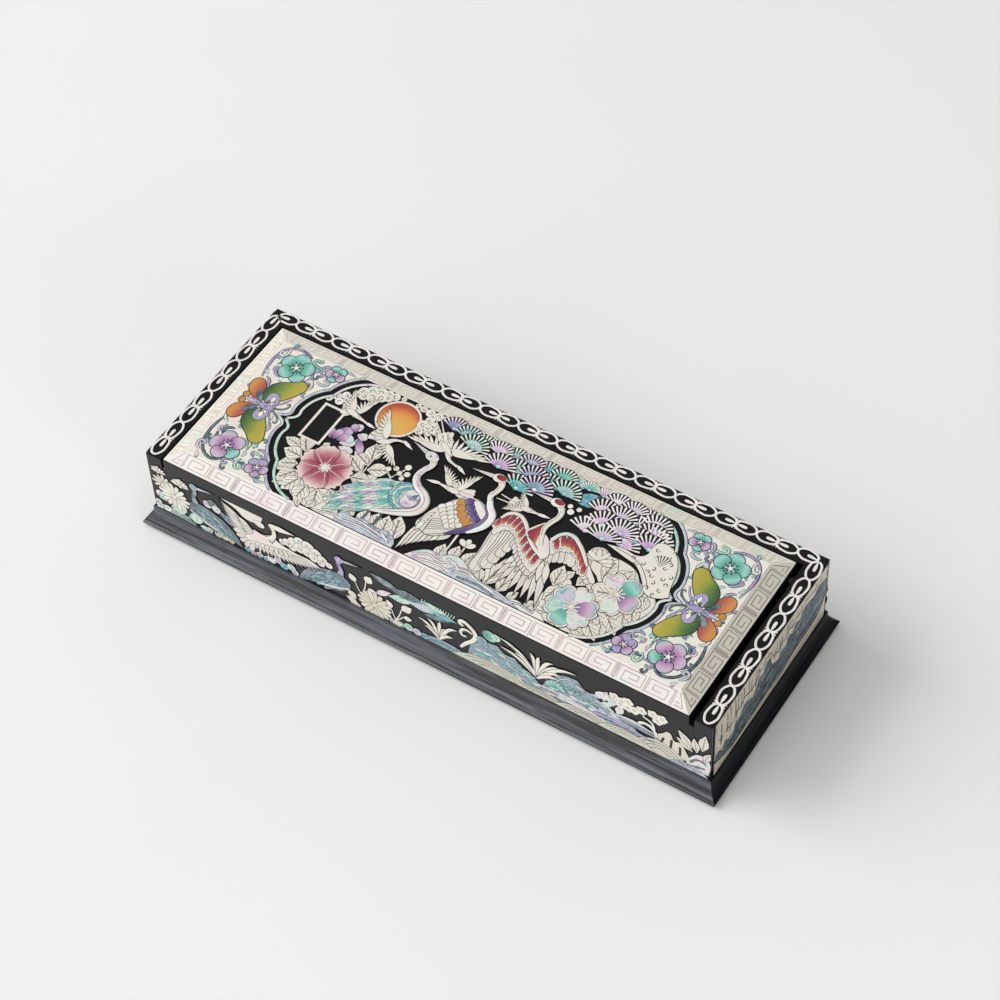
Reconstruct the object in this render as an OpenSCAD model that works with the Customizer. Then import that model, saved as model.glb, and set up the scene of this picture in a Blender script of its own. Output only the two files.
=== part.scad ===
// Mother-of-pearl pen case: a black lacquered box on a coved plinth. Its bevelled lid lies between
// three rails inlaid with a chain, and turns on two pivot pins hidden in the side walls.
// Millimetres. +X runs along the case, -Y is the side that opens, +Z is up, origin under the middle.

/* [Case] */
// Outside length of the walls
case_length = 240; // [220:1:270]
// Outside width of the walls
case_width = 84.7; // [78:0.1:96]
// Height of the rail tops above the table
rail_top = 40.7; // [38:0.1:52]
// Thickness of the walls, which is also the width of the rails
wall = 7; // [6:0.1:8.5]

/* [Plinth] */
// Height of the foot of the walls above the table
plinth_top = 9.7; // [8:0.1:12]
// Reach of the plinth beyond the walls
plinth_reach = 4.4; // [3.4:0.1:6]
// Height of the rounded nose at the foot of the plinth
nose = 2.2; // [1.6:0.1:3]
// Reach and height of the small step under the walls
step = 0.8; // [0.5:0.1:1.2]
// How far the plinth runs in under the walls
plinth_seat = 5; // [3:0.1:5.5]
// Thickness of the felt under the base
felt = 0.6; // [0.4:0.1:1.2]
// Margin of the felt inside the edge of the plinth
felt_inset = 3; // [2:0.5:5]

/* [Lid] */
// Gap between the lid and the rails
lid_gap = 1.7; // [1.5:0.1:2.2]
// Height of the edge of the lid above the rails
lid_lift = 1.7; // [1.2:0.1:2.6]
// Thickness of the lid at its edge
lid_edge = 5.7; // [5:0.1:6.4]
// Width of the bevel round the lid
bevel_width = 7; // [6:0.1:8]
// Rise of the bevel
bevel_rise = 2.2; // [1.4:0.1:2.8]
// Reach of the lid beyond the front wall, for the fingertip
lip = 0.7; // [0.4:0.1:1.5]
// Clearance of the closed lid above the front wall
seat_gap = 0.2; // [0.1:0.05:0.3]

/* [Pivot] */
// Diameter of the pivot pins
pin_d = 2.2; // [2:0.1:2.4]
// Wood left above the pins in the rails
pin_cover = 1; // [0.8:0.1:1.2]
// Length of each pin inside the lid
pin_depth = 9; // [6:0.5:14]
// Radial clearance of the pins in the lid
pin_play = 0.05; // [0.03:0.01:0.09]
// Thickness of the plug that hides the end of each pin
plug = 1.5; // [1:0.1:2]

/* [Lining] */
// Thickness of the velvet on the walls and the lid
lining = 1.2; // [0.8:0.1:1.8]
// Thickness of the velvet pad on the floor
floor_pad = 2; // [1.2:0.1:3]
// Distance from the top of the front wall down to the velvet
lining_drop = 4.5; // [4:0.1:7]

/* [Border inlay] */
// Thickness of the shell
pearl = 0.3; // [0.2:0.05:0.4]
// Width of the chain on the rails
chain_width = 4.4; // [3.6:0.1:4.8]
// Thickness of the line that draws the chain
chain_line = 0.7; // [0.5:0.05:0.9]
// Distance of the middle of the chain from the outside of the walls
chain_mid = 2.9; // [2.7:0.1:3.1]
// Number of chain units along the back rail
chain_units = 14; // [12:1:16]
// Number of key units along each long bevel
fret_units = 18; // [14:1:20]
// Width of the lines cut in the key fret
fret_line = 0.35; // [0.25:0.05:0.5]
// Depth of the lines cut in the key fret
fret_depth = 0.12; // [0.08:0.01:0.15]

/* [Picture inlay] */
// Distance from the end of the field to the point of the cartouche
cartouche_end = 21.2; // [18:0.1:24]
// Width of the black groove round the cartouche
groove = 1.9; // [1.4:0.1:2.4]
// Width of the shell line inside the groove
edge_line = 0.8; // [0.5:0.1:1.2]
// Spokes in each pine fan
pine_spokes = 9; // [7:2:11]
// Radius of the sun
sun_r = 7.8; // [6.8:0.1:8]

/* [Hidden] */
$fn = 64;
slack = 0.02;
hx = case_length / 2;
hy = case_width / 2;
in_x = hx - wall;
in_y = hy - wall;
lid_x = in_x - lid_gap;
lid_back = in_y - lid_gap;
lid_front = -hy - lip;
lid_mid = (lid_back + lid_front) / 2;
lid_y = (lid_back - lid_front) / 2;
lid_arris = rail_top + lid_lift;
lid_base = lid_arris - lid_edge;
field_z = lid_arris + bevel_rise;
field_x = lid_x - bevel_width;
field_y = lid_y - bevel_width;
front_top = lid_base - seat_gap;
lining_top = front_top - lining_drop;
pad_top = plinth_top + floor_pad;
// The back edge of the lid turns inside its gap when the pin stands this far from it
swing = lid_gap - 0.35;
pin_z = rail_top - pin_cover - pin_d / 2;
above_pin = lid_arris + pearl - pin_z;
pin_inset = max(3, (above_pin * above_pin - swing * swing) / (2 * swing) + 0.2);
pin_y = lid_back - pin_inset;
collar = pin_d / 2 + 0.6;
slope = atan(bevel_rise / bevel_width);
slant = bevel_width / cos(slope);
arris_line = 0.35;
art = min(field_x / 104.3, field_y / 31.35);
wall_art = min(hx / 120, (front_top - plinth_top) / 26.8);
side_art = min(hy / 42.35, (rail_top - plinth_top) / 31);

// Helpers: solids

module board(low, high) {
  translate(low) cube(high - low);
}

module along_pin(x0, x1, r) {
  translate([x0, pin_y, pin_z]) rotate([0, 90, 0]) cylinder(h = x1 - x0, r = r);
}

// Keeps what lies under one side of a mitred rectangle, half sizes ox by oy outside, cut back to ix by iy
module mitred(side, ox, oy, ix, iy) {
  plan = side == 0 ? [[-ox, -oy], [ox, -oy], [ix, -iy], [-ix, -iy]]
    : side == 1 ? [[-ox, oy], [ox, oy], [ix, iy], [-ix, iy]]
    : side == 2 ? [[-ox, -oy], [-ox, oy], [-ix, iy], [-ix, -iy]]
    : [[ox, -oy], [ox, oy], [ix, iy], [ix, -iy]];
  intersection() {
    children();
    translate([0, 0, -1]) linear_extrude(rail_top + 30) polygon(plan);
  }
}

// Helpers: shell shapes, drawn flat. A leaf and a drop start at the origin and run along +X

module leaf(l, w) {
  r = (l * l + w * w) / (4 * w);
  translate([l / 2, 0]) intersection() {
    translate([0, r - w / 2]) circle(r, $fn = 256);
    translate([0, w / 2 - r]) circle(r, $fn = 256);
  }
}

module drop(l, w) {
  r = w / 2;
  d = l - r;
  a = asin(r / d);
  t = d * cos(a);
  translate([d, 0]) circle(r);
  polygon([[0, 0], [t * cos(a), -t * sin(a) * 0.98], [t * cos(a), t * sin(a) * 0.98]]);
}

module rosette(n, r, w) {
  for (i = [0 : n - 1]) rotate(90 + i * 360 / n) translate([r * 0.2, 0]) drop(r * 0.8, w);
  circle(r * 0.15);
}

module fan(n, r, spread, w) {
  for (i = [0 : n - 1]) rotate(90 - spread / 2 + i * spread / (n - 1))
    translate([r * 0.25, 0]) drop(r * 0.75, w);
}

function unit(a) = a / norm(a);
function left_of(p) = [-p[1], p[0]];
function corner(a, b) = (left_of(a) + left_of(b)) / (1 + a * b);
function headings(p) = [for (i = [0 : len(p) - 2]) unit(p[i + 1] - p[i])];
function normals(d) = [for (i = [0 : len(d)]) i == 0 ? left_of(d[0])
  : i == len(d) ? left_of(d[i - 1]) : corner(d[i - 1], d[i])];
function offset_path(p, m, w) = [for (i = [0 : len(p) - 1]) p[i] + w / 2 * m[i]];
function reversed(p) = [for (i = [len(p) - 1 : -1 : 0]) p[i]];
function stroke(p, w) = let (m = normals(headings(p)))
  concat(offset_path(p, m, -w), reversed(offset_path(p, m, w)));
function cut_corners(p) = concat([p[0]],
  [for (i = [0 : len(p) - 2]) each [p[i] * 0.75 + p[i + 1] * 0.25, p[i] * 0.25 + p[i + 1] * 0.75]],
  [p[len(p) - 1]]);

// A smooth band of even width along a few guide points
module band(p, w) {
  polygon(stroke(cut_corners(cut_corners(p)), w));
}

module tuft(n, r, spread, w) {
  circle(r * 0.14);
  for (i = [0 : n - 1]) rotate(90 - spread / 2 + i * spread / (n - 1)) translate([r * 0.1, 0])
    leaf(r * (0.9 - 0.2 * abs(2 * i / (n - 1) - 1)), w);
}

module sprig(l, w) {
  leaf(l * 0.9, l * 0.05);
  for (i = [1 : 3], s = [-1, 1]) translate([l * 0.2 * i, 0]) rotate(s * 42)
    translate([0.4, 0]) leaf(l * 0.42, w);
}

module flying_crane(r) {
  translate([-r * 0.4, 0]) leaf(r, r * 0.28);
  translate([r * 0.45, 0]) leaf(r * 0.55, r * 0.1);
  translate([r * 0.95, 0]) rotate(-8) leaf(r * 0.35, r * 0.07);
  for (a = [-14, 0, 14]) translate([-r * 0.32, 0]) rotate(180 + a) leaf(r * 0.45, r * 0.1);
  for (s = [-1, 1], i = [0 : 6]) translate([r * (0.2 - 0.06 * i), s * r * 0.08])
    rotate(s * (68 + 11 * i)) leaf(r * (1 - 0.09 * i), r * 0.12);
}

// Stands with its breast at the origin and looks towards -X
module standing_crane() {
  band([[-0.6, 21.4], [1.3, 20.6], [1, 14], [0.4, 10.2], [3.6, 7.6], [6, 4.2], [5.4, 0]], 1.7);
  translate([-0.9, 21.3]) circle(1.5);
  translate([-12.2, 20.4]) rotate(5) leaf(11, 1.1);
  translate([-15.5, -20]) rotate(52) drop(31, 12.4);
  for (i = [0 : 3]) translate([-7 + 2 * i, -10 - i]) rotate(238 + 7 * i) leaf(11.4 - 1.2 * i, 2.2);
  for (s = [0, 2.6]) translate([0.6 + s, -20]) square([0.5, 15]);
}

// Dances with both wings open and looks towards -X
module dancing_crane() {
  band([[-1, 16.6], [1.4, 16], [1.6, 10.5], [0.6, 5], [-1.4, 0.6], [1, -6]], 1.9);
  translate([-1.4, 16.5]) circle(1.5);
  translate([-12.6, 15.8]) rotate(4) leaf(11, 1.1);
  translate([2, -25]) rotate(95) drop(24, 8);
  for (i = [0 : 4]) translate([1 + i, -12]) rotate(262 + 7 * i) leaf(13 - i, 2);
  for (i = [0 : 7]) translate([-13 + 1.7 * i, -4 - 0.85 * i]) rotate(262 + 5 * i) leaf(18 - 0.9 * i, 2.1);
  for (i = [0 : 7]) translate([8 + 2.2 * i, 3.4 - 1.5 * i]) rotate(284 + 4 * i) leaf(12 - 0.5 * i, 2.1);
  band([[-15.6, 1], [-12, 3], [-5, -0.6], [3, -5.4]], 1.3);
  band([[4, -5], [7, 3.6], [12, 4.6], [18, 2], [27, -9]], 1.3);
}

// Helpers: flat drawings set on a face

module on_lid(level = 0) {
  translate([0, lid_mid, field_z + level * pearl]) linear_extrude(pearl) scale(art) children();
}

module on_front() {
  translate([0, -hy, plinth_top]) rotate([90, 0, 0]) linear_extrude(pearl) scale(wall_art) children();
}

module on_back() {
  translate([0, hy, plinth_top]) rotate([90, 0, 180]) linear_extrude(pearl) scale(wall_art) children();
}

module on_right() {
  translate([hx, 0, plinth_top]) rotate([90, 0, 90]) linear_extrude(pearl) scale(side_art) children();
}

module on_left() {
  translate([-hx, 0, plinth_top]) rotate([90, 0, -90]) linear_extrude(pearl) scale(side_art) children();
}

// Case

module side_wall(s) {
  color("#141316") difference() {
    board([min(s * hx, s * in_x), -hy, plinth_top], [max(s * hx, s * in_x), hy, rail_top]);
    along_pin(min(s * hx, s * in_x) - 1, max(s * hx, s * in_x) + 1, pin_d / 2 + slack);
  }
}

module left_wall() {
  side_wall(-1);
}

module right_wall() {
  side_wall(1);
}

module back_wall() {
  color("#141316") board([-in_x, in_y, plinth_top], [in_x, hy, rail_top]);
}

module front_wall() {
  color("#141316") board([-in_x, -hy, plinth_top], [in_x, -in_y, front_top]);
}

module floor_board() {
  color("#1b191b") board([plinth_seat - hx, plinth_seat - hy, felt],
    [hx - plinth_seat, hy - plinth_seat, plinth_top]);
}

// Section of the plinth, measured outwards from the face of the wall: nose, hollow cove, step
module plinth_section() {
  cove_z = plinth_top - step;
  foot_z = felt + nose;
  reach = plinth_reach - nose * 0.4;
  w = reach - step;
  h = cove_z - foot_z;
  r = (w * w + h * h) / (2 * w);
  translate([-plinth_seat, felt]) square([plinth_seat + plinth_reach - nose / 2, nose]);
  translate([plinth_reach - nose / 2, felt + nose / 2]) circle(nose / 2);
  difference() {
    translate([-plinth_seat, foot_z]) square([plinth_seat + reach, h]);
    translate([step + r, cove_z]) circle(r);
  }
  translate([-plinth_seat, cove_z]) square([plinth_seat + step, step]);
}

module plinth_long(s) {
  ox = hx + plinth_reach;
  oy = hy + plinth_reach;
  color("#100f12") mitred(s < 0 ? 0 : 1, ox, oy, hx - plinth_seat, hy - plinth_seat)
    translate([-s * ox, s * hy, 0]) rotate([90, 0, s * 90]) linear_extrude(2 * ox) plinth_section();
}

module plinth_short(s) {
  ox = hx + plinth_reach;
  oy = hy + plinth_reach;
  color("#100f12") mitred(s < 0 ? 2 : 3, ox, oy, hx - plinth_seat, hy - plinth_seat)
    translate([s * hx, s * oy, 0]) rotate([90, 0, s < 0 ? 180 : 0]) linear_extrude(2 * oy) plinth_section();
}

module plinth_front() {
  plinth_long(-1);
}

module plinth_back() {
  plinth_long(1);
}

module plinth_left() {
  plinth_short(-1);
}

module plinth_right() {
  plinth_short(1);
}

module base_felt() {
  color("#20242c") board([felt_inset - hx - plinth_reach, felt_inset - hy - plinth_reach, 0],
    [hx + plinth_reach - felt_inset, hy + plinth_reach - felt_inset, felt]);
}

// Pivots: each pin is driven through a side wall into the end of the lid, and a plug hides it

module pivot_pin(s) {
  outer = s * (hx - plug);
  inner = s * (lid_x - pin_depth);
  color("#5b5a58") {
    along_pin(min(outer, inner), max(outer, inner), pin_d / 2);
    along_pin(min(s * in_x, s * (lid_x + 0.3)), max(s * in_x, s * (lid_x + 0.3)), collar);
  }
}

module pivot_pin_left() {
  pivot_pin(-1);
}

module pivot_pin_right() {
  pivot_pin(1);
}

module pin_plug(s) {
  color("#141316") along_pin(min(s * hx, s * (hx - plug)), max(s * hx, s * (hx - plug)), pin_d / 2);
}

module pin_plug_left() {
  pin_plug(-1);
}

module pin_plug_right() {
  pin_plug(1);
}

// Lining

module floor_velvet() {
  color("#5a1420") board([-in_x, -in_y, plinth_top], [in_x, in_y, pad_top]);
}

module end_velvet(s) {
  color("#5a1420") board([min(s * in_x, s * (in_x - lining)), lining - in_y, pad_top],
    [max(s * in_x, s * (in_x - lining)), in_y - lining, lining_top]);
}

module left_velvet() {
  end_velvet(-1);
}

module right_velvet() {
  end_velvet(1);
}

module back_velvet() {
  color("#5a1420") board([-in_x, in_y - lining, pad_top], [in_x, in_y, lining_top]);
}

module front_velvet() {
  color("#5a1420") board([-in_x, -in_y, pad_top], [in_x, lining - in_y, lining_top]);
}

// Chain on the rails: pairs of loops tied by a knot, with a bud in each loop

module chain_loop(l) {
  difference() {
    drop(l, chain_width);
    translate([chain_line * 1.9, 0]) drop(l - chain_line * 2.9, chain_width - 2 * chain_line);
  }
  translate([chain_line, 0]) drop(l * 0.52, chain_width * 0.26);
}

module chain_knot() {
  circle(chain_line * 0.8);
  for (a = [90, 270]) rotate(a) translate([-0.2, 0]) leaf(chain_width * 0.5, chain_width * 0.2);
}

// The run starts at a corner knot and counts its knots along +X
module chain_run(pitch, knots, closed) {
  loop = (pitch + chain_line) / 2;
  rotate(4) chain_loop(loop);
  for (i = [1 : knots]) translate([i * pitch, 0]) {
    for (a = [0, 180]) rotate(a) chain_loop(loop);
    chain_knot();
  }
  if (closed) translate([(knots + 1) * pitch, 0]) rotate(176) chain_loop(loop);
}

module chain_area(side) {
  translate([0, 0, rail_top]) linear_extrude(pearl) intersection() {
    children();
    polygon(side == 1 ? [[0.1 - hx, hy], [hx - 0.1, hy], [hx - 0.1 - wall, in_y], [0.1 - in_x, in_y]]
      : [[side * hx / 2, hy - 0.1], [side * hx / 2, -hy],
        [side * in_x / 2, -hy], [side * in_x / 2, in_y - 0.1]]);
  }
}

module side_chain(s) {
  pitch = (2 * hy - chain_mid - 1) / 4.5;
  color("#e8e2d2") chain_area(2 * s) translate([s * (hx - chain_mid), hy - chain_mid]) rotate(-90)
    mirror([0, s > 0 ? 1 : 0]) chain_run(pitch, 4, false);
}

module left_chain() {
  side_chain(-1);
}

module right_chain() {
  side_chain(1);
}

module back_chain() {
  color("#e8e2d2") chain_area(1) translate([chain_mid - hx, hy - chain_mid])
    mirror([0, 1]) chain_run(2 * (hx - chain_mid) / chain_units, chain_units - 1, true);
}

// Wall pictures, drawn from the foot of the wall upwards

module front_ivory() {
  color("#e4dcc6") on_front() {
    translate([-109, 17]) rosette(13, 6.4, 1.6);
    translate([-103, 21.6]) tuft(7, 4.4, 150, 0.9);
    translate([-114.4, 23.4]) rosette(9, 2.8, 0.9);
    translate([-70, 12]) rotate(24) flying_crane(12.4);
    for (i = [0 : 4]) translate([-57 + 4 * i, 20 - 1.4 * abs(i - 2)]) circle(2.2);
    translate([-21, 6.4]) rosette(15, 6.2, 1.4);
    translate([-26, 13.4]) rotate(76) sprig(9, 1.8);
    translate([-11, 9]) rotate(62) sprig(9, 1.8);
    translate([9, 5.4]) tuft(7, 8, 130, 1.1);
    band([[18, 5], [24, 12], [25, 18], [20, 21], [18, 17.5]], 1.2);
    translate([50, 6.6]) tuft(9, 15, 100, 1.3);
    for (p = [[84, 19], [90, 18], [97, 21]]) translate(p) rosette(5, 3.4, 1.7);
    band([[94, 5.6], [97, 11], [95, 15.4]], 0.9);
    translate([108, 6.4]) tuft(7, 15.5, 100, 2.2);
    for (i = [0 : 4]) translate([22 + 20 * i, 0.4]) intersection() {
      translate([0, -16]) circle(20.6);
      translate([-9.6, 0]) square([19.2, 6]);
    }
  }
}

module front_abalone() {
  color("#7fa3a0") on_front() {
    translate([-91, 11.6]) scale(0.52) mirror([1, 0]) standing_crane();
    translate([-36, 11]) scale(0.5) mirror([1, 0]) standing_crane();
    for (i = [0 : 3]) translate([-56 + 4.2 * i, 2.4]) circle(2 - 0.1 * i);
    translate([-3, 18]) rotate(8) leaf(19, 4.4);
    for (p = [[33, 10.4, 4.2], [67.6, 11.6, 4.6], [79.6, 9, 3.6]]) translate([p[0], p[1]]) circle(p[2]);
    translate([-117, 2]) leaf(17, 2.6);
  }
}

module back_ivory() {
  color("#e4dcc6") on_back() {
    for (s = [-1, 1]) {
      translate([s * 72, 14]) rotate(90 - s * 66) flying_crane(13);
      translate([s * 104, 15]) rosette(13, 6, 1.5);
      translate([s * 40, 4]) tuft(9, 15, 130, 1.3);
      translate([s * 16, 8]) rosette(11, 5.4, 1.5);
    }
    for (i = [-5 : 5]) translate([20 * i, 0.4]) intersection() {
      translate([0, -16]) circle(19.4);
      translate([-9.6, 0]) square([19.2, 3.2]);
    }
  }
}

module back_abalone() {
  color("#7fa3a0") on_back() {
    translate([0, 17]) leaf(22, 4);
    for (s = [-1, 1], i = [0, 1]) translate([s * (56.8 + 4.4 * i), 6.6]) circle(1.8);
    for (s = [-1, 1]) translate([s * 90, 7.4]) circle(3);
  }
}

module side_hills() {
  for (i = [-2 : 2]) translate([16 * i, 0.4]) intersection() {
    translate([0, -12]) circle(17.4);
    translate([-7.8, 0]) square([15.6, 6.4]);
  }
}

module side_crags() {
  translate([-38, 22.4]) square([76, 3.4]);
  for (i = [-4 : 4]) translate([9 * i, 23]) rotate(270) leaf(4.6 + 1.8 * ((i + 4) % 3), 6.2);
}

module side_lakes() {
  for (p = [[-26, 9.6], [-4, 8.8], [18, 9.8]]) translate(p) leaf(17, 3.6);
  for (p = [[-16, 13.2], [8, 13.4]]) translate(p) leaf(13, 1.9);
}

module left_ivory() {
  color("#d9d1ba") on_left() {
    side_hills();
    side_crags();
  }
}

module right_ivory() {
  color("#d9d1ba") on_right() {
    side_hills();
    side_crags();
  }
}

module left_abalone() {
  color("#6f8f96") on_left() side_lakes();
}

module right_abalone() {
  color("#6f8f96") on_right() side_lakes();
}

// Lid: two bevelled sections crossed give the mitred bevel

module lid_section(half) {
  polygon([[-half, lid_base], [half, lid_base], [half, lid_arris], [half - bevel_width, field_z],
    [bevel_width - half, field_z], [-half, lid_arris]]);
}

module lid_board() {
  color("#141316") difference() {
    intersection() {
      translate([0, lid_back + 1, 0]) rotate([90, 0, 0]) linear_extrude(2 * lid_y + 2) lid_section(lid_x);
      translate([-lid_x - 1, lid_mid, 0]) rotate([90, 0, 90])
        linear_extrude(2 * lid_x + 2) lid_section(lid_y);
    }
    along_pin(-lid_x - 1, pin_depth + 1 - lid_x, pin_d / 2 + pin_play);
    along_pin(lid_x - pin_depth - 1, lid_x + 1, pin_d / 2 + pin_play);
  }
}

module lid_velvet() {
  color("#5a1420") board([lining + 3 - in_x, lining + 3 - in_y, lid_base - lining],
    [in_x - lining - 3, pin_y - pin_d, lid_base]);
}

// One strip of shell for a bevel side, with the key fret cut into it
module fret_strip(half, inner, units) {
  cell = 2 * (half - bevel_width - 1) / units;
  c = cell - 1.7;
  h = slant - 2;
  key = [[0, h], [c, h], [c, 0], [0, 0], [0, h * 0.7],
    [c * 0.8, h * 0.7], [c * 0.8, h * 0.32], [c * 0.3, h * 0.32]];
  difference() {
    linear_extrude(pearl) polygon([[arris_line - half, arris_line], [half - arris_line, arris_line],
      [inner, slant], [-inner, slant]]);
    translate([0, 0, pearl - fret_depth]) linear_extrude(pearl)
      for (i = [0 : units - 1]) translate([(i - units / 2) * cell + 0.85, 1]) {
        polygon(stroke(key, fret_line));
        translate([c + 0.7, 0]) square([fret_line, h]);
      }
  }
}

module fret_long(s) {
  color("#e9e3d4") translate([0, lid_mid + s * lid_y, lid_arris]) rotate(s > 0 ? 180 : 0)
    rotate([slope, 0, 0]) fret_strip(lid_x, field_x, fret_units);
}

module fret_short(s) {
  color("#e9e3d4") translate([s * lid_x, lid_mid, lid_arris]) rotate(s * 90) rotate([slope, 0, 0])
    fret_strip(lid_y, field_y, round(fret_units * (field_y - 1) / (field_x - 1)));
}

module fret_front() {
  fret_long(-1);
}

module fret_back() {
  fret_long(1);
}

module fret_left() {
  fret_short(-1);
}

module fret_right() {
  fret_short(1);
}

// The cartouche: four lobes and a point at each end, its long sides lost under the bevel
module cartouche(grow) {
  tip = field_x - cartouche_end;
  side = field_y * 0.9;
  point = 10 + grow;
  square([2 * (tip - 21), 2 * field_y + 20], center = true);
  for (turn = [0, 180]) rotate(turn) {
    for (t = [-1, 1]) {
      translate([tip - 26.6, t * side * 0.5]) circle(side * 0.64 + grow);
      translate([tip - 18.8, t * side * 0.215]) circle(side * 0.56 + grow);
    }
    polygon([[tip + grow * 1.3, 0], [tip - 10, point - 1], [tip - 30, 0], [tip - 10, 1 - point]]);
  }
}

module field_end(s) {
  color("#e6e0d0") translate([0, lid_mid, field_z]) linear_extrude(pearl) difference() {
    translate([s < 0 ? -field_x : 0, -field_y]) square([field_x, 2 * field_y]);
    cartouche(groove);
  }
}

module field_left() {
  field_end(-1);
}

module field_right() {
  field_end(1);
}

module edge_line(s) {
  start = field_x - cartouche_end - 20.8;
  color("#86a6a4") translate([0, lid_mid, field_z]) linear_extrude(pearl) intersection() {
    difference() {
      cartouche(0);
      cartouche(-edge_line);
    }
    translate([s < 0 ? -field_x : start, -field_y]) square([field_x - start, 2 * field_y]);
  }
}

module edge_line_left() {
  edge_line(-1);
}

module edge_line_right() {
  edge_line(1);
}

// Lid picture, drawn round the middle of the field

module plaque_frame() {
  color("#e6dfcc") on_lid() translate([-74, -4.6]) difference() {
    square([9.6, 18.6]);
    translate([0.7, 0.7]) square([8.2, 17.2]);
  }
}

module sun_disc() {
  color("#d98524") on_lid() translate([-46.2, 20.9]) circle(sun_r);
}

module sun_ring() {
  color("#efe9dc") on_lid() translate([-46.2, 20.9]) difference() {
    circle(sun_r + 0.9);
    circle(sun_r + 0.2);
  }
}

module clouds() {
  color("#ece6d6") on_lid() {
    for (p = [[-61.6, 27.4, 2.2], [-58.9, 26.2, 2.1], [-56.4, 28, 2.5]])
      translate([p[0], p[1]]) circle(p[2]);
    for (p = [[-34.6, 25, 2.4], [-32.4, 23, 1.8], [-35, 28.4, 2]])
      translate([p[0], p[1]]) circle(p[2]);
    translate([-70, 17.2]) leaf(5.6, 2.6);
  }
}

module flying_cranes() {
  color("#ece6d6") on_lid() {
    translate([-61.6, 19]) rotate(-6) flying_crane(4.8);
    translate([-23, 20.4]) rotate(-16) flying_crane(6.8);
    translate([-8.2, 2.6]) rotate(184) flying_crane(5.2);
    translate([15.4, 8.2]) rotate(8) flying_crane(4.8);
  }
}

module peony() {
  color("#b0607a") on_lid() translate([-56.5, -12.4]) rosette(7, 9.6, 7);
}

module foliage() {
  color("#e4dcc6") on_lid() {
    for (p = [[-66, -12, 150], [-66.4, -16, 192], [-63, -20.4, 226],
      [-57, -23.6, 262], [-50.6, -22.4, 300]])
      translate([p[0], p[1]]) rotate(p[2]) leaf(6.6, 3.2);
    translate([-42.6, -6.6]) rotate(96) sprig(11, 2.6);
    translate([-36.6, -3]) rotate(62) sprig(7.4, 1.6);
    translate([-16.2, -28]) rotate(92) leaf(8, 2.6);
    translate([10.2, -26.6]) tuft(5, 6, 90, 1.6);
    translate([54, 4.6]) tuft(9, 4, 150, 1);
    translate([68.4, -2.4]) rotate(30) leaf(6, 2);
  }
}

module crane_left() {
  color("#8fb3a8") on_lid() translate([-21.8, -9.2]) rotate(-4) scale(0.92) standing_crane();
}

module crane_middle() {
  color("#dcd4c2") on_lid() translate([2.6, -6.4]) standing_crane();
}

module crane_right() {
  color("#e6ddcb") on_lid() translate([30, -1.6]) dancing_crane();
}

module crane_red() {
  color("#a8322e") on_lid(1) {
    translate([1.7, 15]) circle(1);
    translate([28.6, 15]) circle(1);
    for (i = [0 : 7]) translate([16.4 + 1.9 * i, -2.6 - 0.9 * i]) rotate(258 + 4 * i) drop(3.4, 1.3);
    for (i = [0 : 5]) translate([38 + 2.3 * i, 0.8 - 1.1 * i]) rotate(284 + 4 * i) drop(3.2, 1.3);
  }
}

module pine_fans() {
  color("#8aa8b8") on_lid() {
    for (i = [0 : 10]) translate([-13 + 7.2 * i, 24.6]) fan(pine_spokes, 5.6, 140, 0.6);
    for (i = [0 : 4]) translate([6 + 7.2 * i, 19.4]) rotate(10) fan(pine_spokes, 4.6, 130, 0.5);
    for (i = [0 : 2]) translate([45 + 7.2 * i, 18.6]) fan(pine_spokes, 5.2, 140, 0.6);
    for (i = [0 : 2]) translate([40.6 + 7.2 * i, 12.4]) fan(pine_spokes, 5.2, 140, 0.6);
  }
}

module pine_trunk() {
  color("#e2dac4") on_lid() {
    band([[50, 10], [57, 10.4], [64, 8], [70, 4.4], [75.4, 2]], 2.4);
    band([[63, 9], [67, 13], [67.6, 17]], 1.8);
  }
}

module blossoms() {
  color("#a9b9b0") on_lid() {
    translate([66, -9.4]) rosette(5, 6.2, 4.8);
    translate([55.4, -22.2]) rosette(5, 6.8, 5.3);
  }
}

module rocks() {
  color("#9fb0b4") on_lid() {
    for (p = [[-52, 15], [-35, 16], [-8, 18], [14, 20]]) translate([p[0], -29.7]) leaf(p[1], 2.6);
  }
}

// Spandrels: butterfly, flowers and tendrils lie on the ivory ends of the field

module butterfly(s) {
  color("#7d8a2c") on_lid(1) translate([s * (field_x / art - 12.6), 0.6]) mirror([s < 0 ? 1 : 0, 0]) {
    translate([-0.8, 1.6]) rotate(118) drop(15, 7.4);
    translate([-0.8, -1.6]) rotate(242) drop(15, 7.4);
    translate([1.4, 1]) rotate(40) drop(11, 5);
    translate([1.4, -1]) rotate(-40) drop(11, 5);
    translate([-5.6, 0]) leaf(9, 1.6);
  }
}

module butterfly_left() {
  butterfly(-1);
}

module butterfly_right() {
  butterfly(1);
}

module spandrel(s) {
  color("#a7b6ac") on_lid(1) translate([s * field_x / art, 0]) mirror([s < 0 ? 1 : 0, 0])
    for (t = [0, 1]) mirror([0, t]) {
      translate([-11, 22.6]) rosette(5, 5, 3.9);
      translate([-26, 26.4]) rosette(5, 3.4, 2.6);
      band([[-12, 29.6], [-3.6, 29.4], [-1.2, 24], [-2.2, 13.6]], 0.6);
      band([[-19, 29], [-17.4, 25], [-19.6, 22], [-21.6, 23.4]], 0.6);
    }
}

module spandrel_left() {
  spandrel(-1);
}

module spandrel_right() {
  spandrel(1);
}

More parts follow.
